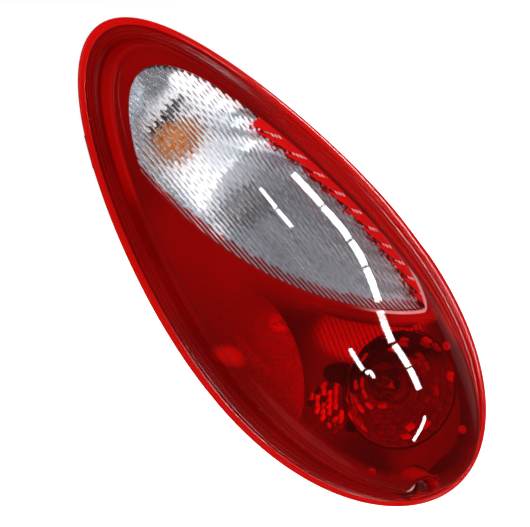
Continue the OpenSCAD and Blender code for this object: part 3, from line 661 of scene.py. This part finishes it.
def redLens():
    ring = windowRing()
    foot = ringAt(ring, rimInset(shoulderIn))
    rings, insets, openings = [], [], []

    def add(p, z, inset):
        rings.append(toFrame(p[:, 0], p[:, 1], z))
        insets.append(np.full(len(p), inset))
        fromWindow, fromFoot = np.linalg.norm(ring - p, axis=1), np.linalg.norm(foot - p, axis=1)
        inside = np.clip((inset - 15) / 6, 0, 1) * np.clip((fromWindow - 5) / 9, 0, 1) * np.clip((fromFoot - 6) / 12, 0, 1)
        openings.append(np.clip((40 - p[:, 1]) / 60, 0, 1) * inside)
    for inset, high in rimSection():
        add(ringAt(ring, rimInset(inset)), lamp["seat"] + high, inset)
    for k in range(1, 49):
        p = foot + (ring - foot) * (k / 48) ** 1.7
        add(p, outerZ(p[:, 0], p[:, 1]), 30.0)
    add(ring, outerZ(ring[:, 0], ring[:, 1]) - rim["skin"], 30.0)
    under = ringAt(ring, rimInset(shoulderIn + rim["skin"]))
    for k in range(23, 0, -1):
        p = under + (ring - under) * (k / 24) ** 1.7
        add(p, innerZ(p[:, 0], p[:, 1]), 30.0)
    w, skin = rim["wallIn"], rim["skin"]
    for inset, high in ((shoulderIn + skin, rim["wallHigh"] + rim["shoulderHigh"] - skin), (w + rim["wallLean"] + skin, rim["wallHigh"] - 2), (w + skin + 0.6, 0)):
        add(ringAt(ring, rimInset(inset)), lamp["seat"] + high, 30.0)
    verts = np.clip(np.concatenate(rings), cadBox[0], cadBox[1])
    obj = makeObject("redLens", verts, gridFaces(len(rings), len(ring), closedRows=True, closedCols=True))
    floatLayer(obj, "inset", np.concatenate(insets))
    floatLayer(obj, "opening", np.concatenate(openings))
    tidyMesh(obj)
    boolean(obj, pocketWall(), "UNION")
    boolean(obj, lathe("pocket", [(0, 10.4), (6.8, 10.4), (7.2, 13), (12.5, 49), (0, 49)], screwX, screwY), "DIFFERENCE")
    boolean(obj, lathe("screwHole", [(0, 1), (5.5, 1), (5.5, 20), (0, 20)], screwX, screwY), "DIFFERENCE")
    sharpenByAngle(obj, 38)
    setMaterial(obj, redAcrylic)
    return obj


def pocketWall(wide=15.0, turns=72, steps=9):
    a = np.linspace(0, 2 * np.pi, turns, endpoint=False)
    rings = [toFrame(screwX + wide * np.cos(a), screwY + wide * np.sin(a), np.full(turns, lamp["seat"]))]
    for k in range(steps, 0, -1):
        x, y = screwX + wide * k / steps * np.cos(a), screwY + wide * k / steps * np.sin(a)
        rings.append(toFrame(x, y, lensTopZ(x, y) - 0.3))
    verts = list(np.concatenate(rings))
    verts += [toFrame(screwX, screwY, lamp["seat"]), toFrame(screwX, screwY, lensTopZ(np.array([screwX]), np.array([screwY]))[0] - 0.3)]
    low, high, last = len(verts) - 2, len(verts) - 1, steps * turns
    faces = gridFaces(steps + 1, turns, closedCols=True)
    faces += [(low, (j + 1) % turns, j) for j in range(turns)] + [(high, last + j, last + (j + 1) % turns) for j in range(turns)]
    obj = makeObject("pocketWall", verts, faces)
    tidyMesh(obj)
    return obj


# Small repeated cells, set on points that carry their turn and size

def scatterGroup():
    group = bpy.data.node_groups.new("scatterCells", "GeometryNodeTree")
    for name, kind in (("Geometry", "NodeSocketGeometry"), ("Cell", "NodeSocketObject"), ("Tilt", "NodeSocketFloat"), ("Seed", "NodeSocketInt"), ("Material", "NodeSocketMaterial")):
        group.interface.new_socket(name, in_out="INPUT", socket_type=kind)
    group.interface.new_socket("Geometry", in_out="OUTPUT", socket_type="NodeSocketGeometry")
    nodes, links = group.nodes, group.links
    given, result = nodes.new("NodeGroupInput"), nodes.new("NodeGroupOutput")
    cell = nodes.new("GeometryNodeObjectInfo")
    turn, size = nodes.new("GeometryNodeInputNamedAttribute"), nodes.new("GeometryNodeInputNamedAttribute")
    for made, name in ((turn, "turn"), (size, "size")):
        made.data_type = "FLOAT_VECTOR"
        made.inputs["Name"].default_value = name
    instance, rotate = nodes.new("GeometryNodeInstanceOnPoints"), nodes.new("GeometryNodeRotateInstances")
    chance = nodes.new("FunctionNodeRandomValue")
    chance.data_type = "FLOAT_VECTOR"
    negative = nodes.new("ShaderNodeMath")
    negative.operation = "MULTIPLY"
    negative.inputs[1].default_value = -1.0
    realize, paint = nodes.new("GeometryNodeRealizeInstances"), nodes.new("GeometryNodeSetMaterial")
    links.new(given.outputs["Geometry"], instance.inputs["Points"])
    links.new(given.outputs["Cell"], cell.inputs["Object"])
    links.new(cell.outputs["Geometry"], instance.inputs["Instance"])
    links.new(turn.outputs["Attribute"], instance.inputs["Rotation"])
    links.new(size.outputs["Attribute"], instance.inputs["Scale"])
    links.new(given.outputs["Tilt"], negative.inputs[0])
    links.new(negative.outputs[0], chance.inputs[0])
    links.new(given.outputs["Tilt"], chance.inputs[1])
    links.new(given.outputs["Seed"], chance.inputs["Seed"])
    links.new(instance.outputs[0], rotate.inputs["Instances"])
    links.new(chance.outputs[0], rotate.inputs["Rotation"])
    links.new(rotate.outputs[0], realize.inputs[0])
    links.new(realize.outputs[0], paint.inputs["Geometry"])
    links.new(given.outputs["Material"], paint.inputs["Material"])
    links.new(paint.outputs[0], result.inputs["Geometry"])
    return group


scatter = scatterGroup()


def scatterCells(name, points, turns, sizes, cell, tilt, seed, material, shades=None):
    mesh = bpy.data.meshes.new(name)
    mesh.from_pydata([tuple(p) for p in points], [], [])
    for key, values in (("turn", turns), ("size", sizes)):
        layer = mesh.attributes.new(key, "FLOAT_VECTOR", "POINT")
        layer.data.foreach_set("vector", np.asarray(values, dtype=np.float32).ravel())
    # shade: how bright each cell is painted, used as painted highlights
    layer = mesh.attributes.new("shade", "FLOAT", "POINT")
    layer.data.foreach_set("value", np.asarray(shades if shades is not None else np.zeros(len(points)), dtype=np.float32))
    obj = bpy.data.objects.new(name, mesh)
    bpy.context.scene.collection.objects.link(obj)
    made = obj.modifiers.new("cells", "NODES")
    made.node_group = scatter
    given = {item.name: item.identifier for item in scatter.interface.items_tree if item.in_out == "INPUT"}
    for key, value in (("Cell", cell), ("Tilt", tilt), ("Seed", seed), ("Material", material)):
        made[given[key]] = value
    plainMesh(obj)
    for key in ("turn", "size"):
        if key in obj.data.attributes:
            obj.data.attributes.remove(obj.data.attributes[key])
    bpy.data.objects.remove(cell)
    return obj


def turnTo(normal, along):
    z = Vector(normal).normalized()
    x = Vector(along)
    x = (x - z * x.dot(z)).normalized()
    return Matrix((x, z.cross(x), z)).transposed().to_euler()


def hexCell():
    # low six-sided pyramid, unit across its corners and unit high
    a = [math.radians(60 * k) for k in range(6)]
    verts = [(math.cos(t), math.sin(t), -1) for t in a] + [(math.cos(t), math.sin(t), 0) for t in a] + [(0, 0, 1), (0, 0, -1)]
    faces = [(k, (k + 1) % 6, 6 + (k + 1) % 6, 6 + k) for k in range(6)] + [(6 + k, 6 + (k + 1) % 6, 12) for k in range(6)] + [((k + 1) % 6, k, 13) for k in range(6)]
    return makeObject("hexCell", verts, faces, smooth=False)


def pillowTile():
    # tile with a crowned top, one unit wide and long
    n = 5
    t = np.linspace(-0.5, 0.5, n)
    gx, gy = np.meshgrid(t, t, indexing="ij")
    top = np.stack([gx, gy, 1.0 - 1.6 * (gx ** 2 + gy ** 2)], -1)
    low = np.stack([gx, gy, np.full_like(gx, -1.0)], -1)
    verts, faces, _ = slabParts(top, low)
    obj = makeObject("pillowTile", verts, faces)
    tidyMesh(obj)
    return obj


# Reflex insert: a red plate under a field of small prisms

def reflexZ(x, y):
    return shoulderZ - 6.2 + 0.2 * (x - window["left"] + 32) - 0.03 * (y - 20)


def reflexRight(y):
    return reflex["x"] + np.sqrt(reflex["r"] ** 2 - (y - reflex["y"]) ** 2)


def reflexPlate():
    y = np.linspace(reflex["low"], reflex["high"], 90)
    left = sideAt(rimInset(shoulderIn + rim["skin"] + 1.2), y, -1)
    right = np.maximum(reflexRight(y), left + 1)
    s = np.linspace(0, 1, 24)
    x = left[:, None] + (right - left)[:, None] * s[None, :]
    yy = np.repeat(y[:, None], 24, 1)
    z = reflexZ(x, yy)
    verts, faces, _ = slabParts(toFrame(x, yy, z - 0.5), toFrame(x, yy, z - reflex["thick"]))
    plate = makeObject("reflexPlate", verts, faces, smooth=False)
    tidyMesh(plate)
    setMaterial(plate, redPrism)
    pitch = reflex["pitch"]
    points = []
    for row, py in enumerate(np.arange(reflex["low"] + 1.5, reflex["high"] - 1.5, pitch * 0.866)):
        lo, hi = np.interp(py, y, left) + 1.6, np.interp(py, y, right) - 1.4
        for px in np.arange(-100 + (row % 2) * pitch / 2, 0, pitch):
            if lo < px < hi:
                points.append((px, py))
    p = np.array(points)
    normal = (-0.2, -1.0, 0.03)
    turn = turnTo(normal, (0, 0, 1))
    size = (pitch / 1.732 / 1000, pitch / 1.732 / 1000, reflex["cellHigh"] / 1000)
    cells = scatterCells("reflexCells", toFrame(p[:, 0], p[:, 1], reflexZ(p[:, 0], p[:, 1]) - 0.5), [tuple(turn)] * len(p), [size] * len(p), hexCell(), 0.06, 3, redPrism)
    posts = []
    for py in (41.0, -60.0):
        px = sideAt(rimInset(shoulderIn + rim["skin"] + 1.2), py, -1) + 1.6
        posts.append(lathe("leg", [(0, lamp["seat"]), (2, lamp["seat"]), (2, reflexZ(px, py) - 1), (0, reflexZ(px, py) - 1)], px, py, 32))
        setMaterial(posts[-1], redPrism)
    return joinObjects(plate, [cells] + posts)


# Signal reflector: two bowls round the bulbs that meet in a ridge, with a stepped right flank

def softMin(a, b, k):
    return np.minimum(a, b) - np.maximum(0, k - np.abs(a - b)) ** 2 / (4 * k)


def dishZ(x, y, bands=True):
    (turnX, turnY), (backX, backY) = bulbs["turn"], bulbs["reverse"]
    tipX, tipY = window["right"] - 8, float(windowLow(np.array(window["right"] - 8)))
    far = math.hypot(tipX - backX, tipY - backY)
    wayX, wayY = (tipX - backX) / far, (tipY - backY) / far
    one = dish["low"] + ((x - turnX) ** 2 * 1.1 + (y - turnY) ** 2 * 0.9) / dish["focus"]
    along, across = (x - backX) * wayX + (y - backY) * wayY, (y - backY) * wayX - (x - backX) * wayY
    along = np.where(along > 0, 0.4 * along, along)
    two = dish["low"] + (across ** 2 * 0.85 + along ** 2 * 1.1) / dish["focus"]
    bowls = softMin(softMin(one, two, dish["blend"]), innerZ(x, y) - dish["gap"], dish["blend"])
    s = np.clip(2 * (x - window["left"] - 1.2) / (window["right"] - window["left"] - 2.8) - 1, -1, 1)
    low, high = windowLow(x) + 3, windowHigh(x) - 2.5
    t = np.clip(2 * (y - low) / (high - low) - 1, -1, 1)
    deep = (1 - s ** 4) ** 0.75 * (1 - t ** 4) ** 0.8
    if bands:
        run = (x * 0.62 + y * 0.78) / 13.0
        bowls = bowls + (run - np.floor(run) - 0.5) * 1.2 * np.clip((x - 26) / 14, 0, 1)
    return (innerZ(x, y) - 3) * (1 - deep) + bowls * deep


def signalDish():
    n, m = 180, 230
    spread = (1 - np.cos(np.pi * np.linspace(0, 1, n))) / 2
    x = window["left"] + 1.2 + (window["right"] - window["left"] - 2.8) * spread
    low, high = windowLow(x) + 3, windowHigh(x) - 2.5
    t = (1 - np.cos(np.pi * np.linspace(0, 1, m))) / 2
    gx = np.repeat(x[:, None], m, 1)
    gy = low[:, None] + (high - low)[:, None] * t[None, :]
    z = dishZ(gx, gy)
    verts, faces, _ = slabParts(toFrame(gx, gy, z), toFrame(gx, gy, z - dish["thick"]))
    made = makeObject("signalDish", verts, faces)
    tidyMesh(made)
    for name in ("turn", "reverse"):
        boolean(made, lathe("port", [(0, -30), (15, -30), (15, 12), (0, 12)], *bulbs[name]), "DIFFERENCE")
    sharpenByAngle(made, 35)
    setMaterial(made, metallised)
    posts = []
    for px, py in pillarSpots():
        top = float(dishZ(np.array(px), np.array(py), False))
        posts.append(lathe("pillar", [(1.3, tub["floor"] + 3), (4, tub["floor"] + 3), (4, top - 1.4), (1.3, top - 1.4)], px, py, 32))
        setMaterial(posts[-1], metallised)
    return joinObjects(made, posts)


def pillarSpots():
    spots = []
    for s, t in ((0.55, 0.64), (0.61, 0.26), (0.7, 0.52)):
        x = np.array([window["left"] + (window["right"] - window["left"]) * s])
        low, high = windowLow(x)[0], windowHigh(x)[0]
        spots.append((x[0], low + (high - low) * t))
    return spots


# Stop light: apron with a fluted field, bowl of staggered tiles and a tiled lobe on its left

def bowlZ(r):
    return stop["low"] + (stop["apron"] + 2 - stop["low"]) * ((r - tub["portR"]) / (stop["r"] - tub["portR"])) ** 2


def apronPlate():
    n, m = 150, 300
    y = np.linspace(-190.0, 26.0, m)
    left = sideAt((tub["inset"] - 1,) * 3, y, -1)
    arc = np.where(np.abs(y - reflex["y"]) < reflex["r"] + 3, reflex["x"] + np.sqrt(np.maximum(0, (reflex["r"] + 3) ** 2 - (y - reflex["y"]) ** 2)), -999)
    left = np.maximum(left, np.where(y > -92, arc, -999))
    wx = np.linspace(window["left"] + 10, window["right"] - 6, 200)
    edge = windowLow(wx) - 20
    right = np.minimum(sideAt((tub["inset"] - 1,) * 3, y), np.where(y > edge.min(), np.interp(-y, -edge, wx), 999))
    right = np.maximum(right, left + 1)
    s = np.linspace(0, 1, n)
    x = left[:, None] + (right - left)[:, None] * s[None, :]
    yy = np.repeat(y[:, None], n, 1)
    top = np.full_like(x, stop["apron"] + 2)
    field = np.clip((x + 8) / 4, 0, 1) * np.clip((66 - x) / 4, 0, 1) * np.clip((yy + 100) / 6, 0, 1)
    flute = np.abs((x / 3.6) % 1 - 0.5) * 2
    top = top + field * flute * 0.9
    verts, faces, _ = slabParts(toFrame(x, yy, top), toFrame(x, yy, np.full_like(x, stop["apron"])))
    plate = makeObject("stopBowl", verts, faces)
    tidyMesh(plate)
    boolean(plate, lathe("hole", [(0, 10), (stop["r"] - 0.5, 10), (stop["r"] - 0.5, 30), (0, 30)], stop["x"], stop["y"], 128), "DIFFERENCE")
    boolean(plate, lathe("hole", [(0, 10), (16.5, 10), (16.5, 30), (0, 30)], screwX, screwY), "DIFFERENCE")
    sharpenByAngle(plate, 30)
    setMaterial(plate, apronMetal)
    return plate


def stopBowl():
    plate = apronPlate()
    profile = [(r, float(bowlZ(r))) for r in np.linspace(tub["portR"], stop["r"], 22)]
    profile += [(stop["r"] + 1.5, stop["apron"] + 2), (stop["r"] + 1.5, stop["apron"])] + [(r, float(bowlZ(r)) - 3.6) for r in np.linspace(stop["r"], tub["portR"], 12)]
    bowl = lathe("bowl", profile, stop["x"], stop["y"], 128)
    sharpenByAngle(bowl, 40)
    setMaterial(bowl, bowlMetal)
    chance = np.random.default_rng(12)
    points, turns, sizes, shades = [], [], [], []
    for ring, r in enumerate(np.arange(18.5, 43.5, 3.4)):
        count = max(8, int(2 * np.pi * r / 8.5))
        slope = 2 * (bowlZ(stop["r"]) - stop["low"]) * (r - tub["portR"]) / (stop["r"] - tub["portR"]) ** 2
        for k in range(count):
            a = 2 * np.pi * (k + 0.5 * (ring % 2)) / count
            ca, sa = math.cos(a), math.sin(a)
            points.append(toFrame(stop["x"] + r * ca, stop["y"] + r * sa, bowlZ(r) + 0.1))
            turns.append(tuple(turnTo((-slope * ca, -1, -slope * sa), (-sa, 0, ca))))
            sizes.append((2 * np.pi * r / count * 0.95 / 1000, 3.4 * math.hypot(1, slope) * 0.95 / 1000, 0.0009))
            # painted highlights: tiles are painted bright at random, most often at the middle left, then at the right,
            # rarely at the top and bottom
            high = sa + 0.3 * ca
            share = 0.4 if ca > 0.6 and sa > -0.1 and r > 22 else 0.12 if high > 0.5 else 0.62 if high > -0.45 and ca < 0.4 else 0.1
            shades.append(chance.uniform(0.25, 1) if chance.random() < share else 0.0)
    tiles = scatterCells("bowlTiles", points, turns, sizes, pillowTile(), 0.25, 11, tileMetal, shades)
    points, turns, sizes, shades = [], [], [], []
    for row, ty in enumerate(np.arange(-117.0, -82.0, 3.6)):
        for tx in np.arange(-45.0 + (row % 2) * 3, -16.0, 6.2):
            clearOfPatch = 18.9 * (tx + 25.9) + 16.6 * (ty + 82.9) < -30
            if clearOfPatch and math.hypot(tx - stop["x"], ty - stop["y"]) > stop["r"] + 3.5:
                points.append(toFrame(tx, ty, stop["apron"] + 2.2))
                turns.append(tuple(turnTo((0.18, -1, 0.12), (1, 0, 0.5))))
                sizes.append((0.0058, 0.0033, 0.0014))
                # painted highlights: most lobe tiles are painted bright
                shades.append(chance.uniform(0.6, 1) if chance.random() < 0.8 else 0.02)
    lobe = scatterCells("lobeTiles", points, turns, sizes, pillowTile(), 0.35, 5, tileMetal, shades)
    return joinObjects(plate, [bowl, tiles, lobe])


print("lens")
clearPiece = clearWindow()
redPiece = redLens()
print("reflectors")
reflexPiece = reflexPlate()
dishPiece = signalDish()
bowlPiece = stopBowl()
stands = ((clearPiece, "lens_clear", "lens_clear"), (redPiece, "lens_red", "lens_red"), (reflexPiece, "reflex_reflector", "reflex"),
    (dishPiece, "signal_reflector", "reflector"), (bowlPiece, "stop_reflector", "reflector"))
for piece, cadNode, slot in stands:
    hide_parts(cadNode)
    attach(piece, "root")
    print(piece.name, len(piece.data.polygons))

# Finishes of the pieces that keep their shape from the frame

finishes = dict(
    housing=tubPlastic, turn_bulb=amberGlass, reverse_bulb=clearGlass, stop_bulb=clearGlass,
    turn_bulb_base=basePlastic, reverse_bulb_base=paleBase, stop_bulb_base=basePlastic,
    turn_filament=tungsten, reverse_filament=tungsten, stop_filament=tungsten,
    turn_holder=holderPlastic, reverse_holder=holderPlastic, stop_holder=holderPlastic,
    turn_seal=softRubber, reverse_seal=softRubber, stop_seal=softRubber,
    turn_terminals=brass, reverse_terminals=brass, stop_terminals=brass,
    body_gasket=blackFoam, screw_sleeve=zinc, locating_studs=zinc, reflector_screws=zinc, vent_boots=softRubber,
)
print("finishes")
for name, material in finishes.items():
    setMaterial(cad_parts[name], material)

# Camera at the photograph's angle: a little above and to the left, rolled so the lamp leans

view = dict(side=10.0, above=17.0, roll=38.37, away=1600.0, pixelsPerMm=1.3897, centreX=281.7, centreY=267.7, imageWide=530, imageHigh=527,
    lookX=0.95, lookY=1.57, lookZ=14.0)


def cameraAxes():
    a, e, r = (math.radians(view[k]) for k in ("side", "above", "roll"))
    back = Vector((-math.sin(a) * math.cos(e), -math.cos(a) * math.cos(e), math.sin(e)))
    right = Vector((math.cos(a), -math.sin(a), 0))
    up = back.cross(right)
    turnedRight = right * math.cos(r) - up * math.sin(r)
    turnedUp = right * math.sin(r) + up * math.cos(r)
    return turnedRight, turnedUp, back


def placeCamera():
    right, up, back = cameraAxes()
    middle = Vector(toFrame(view["lookX"], view["lookY"], view["lookZ"]))
    offX = (view["imageWide"] / 2 - view["centreX"]) / view["pixelsPerMm"] / 1000
    offY = (view["centreY"] - view["imageHigh"] / 2) / view["pixelsPerMm"] / 1000
    data = bpy.data.cameras.new("camera")
    data.sensor_width = 36.0
    data.lens = view["pixelsPerMm"] * view["away"] / view["imageWide"] * 36.0
    data.clip_start = 0.05
    made = bpy.data.objects.new("camera", data)
    bpy.context.scene.collection.objects.link(made)
    turn = Matrix((right, up, back)).transposed().to_4x4()
    turn.translation = middle + back * view["away"] / 1000 + right * offX + up * offY
    made.matrix_world = turn
    bpy.context.scene.camera = made
    return made


print("camera")
camera = placeCamera()

# Floor, world and lamps

studio = dict(floorDrop=0.45, floorTone=0.9, worldLight=0.04, keyLight=7.2, softLight=0.7, fillLight=2.4, rightLight=5.0, backLight=7.0, 
    panels=dict(sheenPanel=((2.2, 0.9, -0.6), (1.5, -0.4, -1.9), 1.7, 0.24), hazePanel=((-2.2, 0.3, -0.7), (-1.7, -0.2, -1.9), 1.7, 0.19),
        edgePanel=((-0.5, -1.1, 1.8), (-1.9, -1.0, 0.7), 0.16, 2.0)))


def makeFloor():
    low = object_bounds()[0]
    s, z = 6.0, low[2] - studio["floorDrop"]
    floor = makeObject("floor", [(-s, -s, z), (s, -s, z), (s, s, z), (-s, s, z)], [(0, 1, 2, 3)], smooth=False)
    material, tree, output, place = newMaterial("paleFloor")
    tone = studio["floorTone"]
    cloud = noise(tree, place, 3.0)
    plain = node(tree, "ShaderNodeBsdfDiffuse", {}, {"Color": mixColour(tree, cloud, (tone, tone, tone, 1), (tone * 0.98, tone * 0.98, tone * 0.98, 1))})
    lift = node(tree, "ShaderNodeEmission", {}, {"Strength": node(tree, "ShaderNodeLightPath", out=0) * 0.95})
    finishMaterial(tree, output, node(tree, "ShaderNodeAddShader", {}, {0: plain, 1: lift}))
    setMaterial(floor, material)
    floor.visible_glossy = False


def makeWorld():
    world = bpy.data.worlds.new("world")
    bpy.context.scene.world = world
    world.use_nodes = True
    tree = world.node_tree
    tree.nodes.clear()
    output = tree.nodes.new("ShaderNodeOutputWorld")
    path = tree.nodes.new("ShaderNodeLightPath")
    seen = Sock(tree, path.outputs["Is Camera Ray"])
    shade = node(tree, "ShaderNodeBackground", {}, {"Color": (1, 1, 1, 1), "Strength": seen * (1 - studio["worldLight"]) + studio["worldLight"]})
    tree.links.new(shade.socket, output.inputs[0])


def areaLight(name, place, target, wide, high, radiance):
    data = bpy.data.lights.new(name, "AREA")
    data.shape = "RECTANGLE"
    data.size, data.size_y, data.energy = wide, high, radiance * math.pi * wide * high
    obj = bpy.data.objects.new(name, data)
    bpy.context.scene.collection.objects.link(obj)
    back = (Vector(place) - Vector(target)).normalized()
    right = Vector((0, 0, 1)).cross(back)
    right = (right - back * right.dot(back)).normalized()
    up = back.cross(right)
    turn = Matrix((right, up, back)).transposed().to_4x4()
    turn.translation = Vector(place)
    obj.matrix_world = turn
    obj.visible_camera = False
    obj.visible_glossy = False
    return obj


# Bright strips whose reflections run along the crown, given by the pixels that they cross

strips = dict(away=1100.0, radiance=36.0, runs=(
    (6.4, [(293, 174), (307.5, 189), (321.5, 205)]), (6.6, [(323, 207), (336.5, 222), (349.5, 239)]), (6.8, [(351, 241.5), (358.5, 252.5), (365, 265.5)]),
    (6.8, [(366, 268.5), (372.8, 284), (378.5, 302)]), (6.8, [(380.3, 311), (385.3, 326), (392, 342)]), (6.2, [(394.5, 345), (401.8, 355.5), (408.5, 366.5)]),
    (6.0, [(409.5, 368.5), (414.6, 378.5), (419, 389.5)]),
    (3.6, [(260, 188), (268, 197.6), (276, 208)]), (3.8, [(277, 209.5), (284.4, 218), (292, 227)]),
    (4.2, [(350, 349), (356, 359), (363, 370)]), (3.6, [(366, 374), (370, 372), (374, 378)]),
    (3.0, [(425, 416), (421, 428), (413, 441)])))

def crownNormal(point):
    # from the crown's own height rule, so that facets don't show
    x, y = point[0] * 1000 + screwX, point[2] * 1000 + screwY
    h = 0.05
    sx = (outerZ(x + h, y) - outerZ(x - h, y)) / (2 * h)
    sy = (outerZ(x, y + h) - outerZ(x, y - h)) / (2 * h)
    return Vector((-sx, -1, -sy)).normalized()


def pixelRay(pixel):
    turn, data = camera.matrix_world, camera.data
    x = (pixel[0] - view["imageWide"] / 2) / view["imageWide"] * data.sensor_width / data.lens
    y = (view["imageHigh"] / 2 - pixel[1]) / view["imageWide"] * data.sensor_width / data.lens
    return turn.translation, (turn.to_3x3() @ Vector((x, y, -1))).normalized()


def mirrorSpot(pixel, surfaces):
    start, way = pixelRay(pixel)
    hits = [s.ray_cast(start, way) for s in surfaces]
    point = min((h for h in hits if h[0] is not None), key=lambda h: h[3])[0]
    normal = crownNormal(point)
    return point + (way - 2 * way.dot(normal) * normal) * strips["away"] / 1000


def glowMaterial(name, radiance, fading=False):
    material, tree, output, place = newMaterial(name)
    even = attribute(tree, "fade") if fading else 0.93 + 0.07 * noise(tree, place, 2.0)
    colour = mixColour(tree, even, (0, 0, 0, 1), (1, 1, 1, 1))
    finishMaterial(tree, output, node(tree, "ShaderNodeEmission", {}, {"Color": colour, "Strength": radiance}))
    return material


def onlyReflected(obj):
    for key in ("visible_camera", "visible_diffuse", "visible_transmission", "visible_shadow"):
        setattr(obj, key, False)


def softPanel(name, start, end, wide, radiance, soft=2.0):
    # a lit sheet that only reflections see, fading out towards its edges
    start, end = Vector(start), Vector(end)
    side = (end - start).cross(start + end).normalized() * wide
    steps = np.linspace(0, 1, 21)
    verts = [centre + start + (end - start) * a + side * (b - 0.5) for a in steps for b in steps]
    obj = makeObject(name, verts, gridFaces(21, 21), smooth=False)
    hump = np.sin(np.pi * steps)
    floatLayer(obj, "fade", np.clip(np.outer(hump, hump) * soft, 0, 1) ** 1.5)
    setMaterial(obj, glowMaterial(name + "Glow", radiance, True))
    onlyReflected(obj)


def glowPatch(name, grid, surfaces, material):
    # a lit surface whose reflection fills the given grid of pixels
    n, m = len(grid), len(grid[0])
    verts = [mirrorSpot(p, surfaces) for row in grid for p in row]
    obj = makeObject(name, verts, gridFaces(n, m), smooth=False)
    setMaterial(obj, material)
    onlyReflected(obj)


def curvePoints(path, count):
    path = np.array(path, dtype=float)
    t, fine = np.linspace(0, 1, len(path)), np.linspace(0, 1, count)
    return np.stack([np.polyval(np.polyfit(t, path[:, c], 2), fine) for c in (0, 1)], -1)


def makeStrips():
    graph = bpy.context.evaluated_depsgraph_get()
    surfaces = [BVHTree.FromObject(o, graph) for o in (clearPiece, redPiece)]
    glow = glowMaterial("stripGlow", strips["radiance"])
    for k, (wide, path) in enumerate(strips["runs"]):
        line = curvePoints(path, 13)
        way = np.gradient(line, axis=0)
        side = np.stack([-way[:, 1], way[:, 0]], -1) / np.linalg.norm(way, axis=1)[:, None] * wide / 2
        glowPatch("strip%d" % k, [line + side * t for t in (-1, -0.5, 0, 0.5, 1)], surfaces, glow)


print("stage")
makeFloor()
makeWorld()
makeStrips()
centre = Vector(toFrame(0.0, 0.0, 20.0))
areaLight("keyLight", centre + Vector((-0.9, -1.9, 1.2)), centre, 1.4, 1.4, studio["keyLight"])
areaLight("fillLight", centre + Vector((-1.8, -0.9, -0.6)), centre, 1.2, 1.2, studio["fillLight"])
areaLight("rightLight", centre + Vector((2.0, -0.9, 0.5)), centre, 1.2, 1.2, studio["rightLight"])
areaLight("backLight", centre + Vector((0.9, 2.3, 1.1)), centre, 1.6, 1.6, studio["backLight"])
areaLight("softLight", centre + Vector((2.3, -0.5, 0.3)), centre, 1.0, 1.8, studio["softLight"])
for name, panel in studio["panels"].items():
    softPanel(name, *panel)

bpy.context.scene.view_settings.view_transform = "Standard"
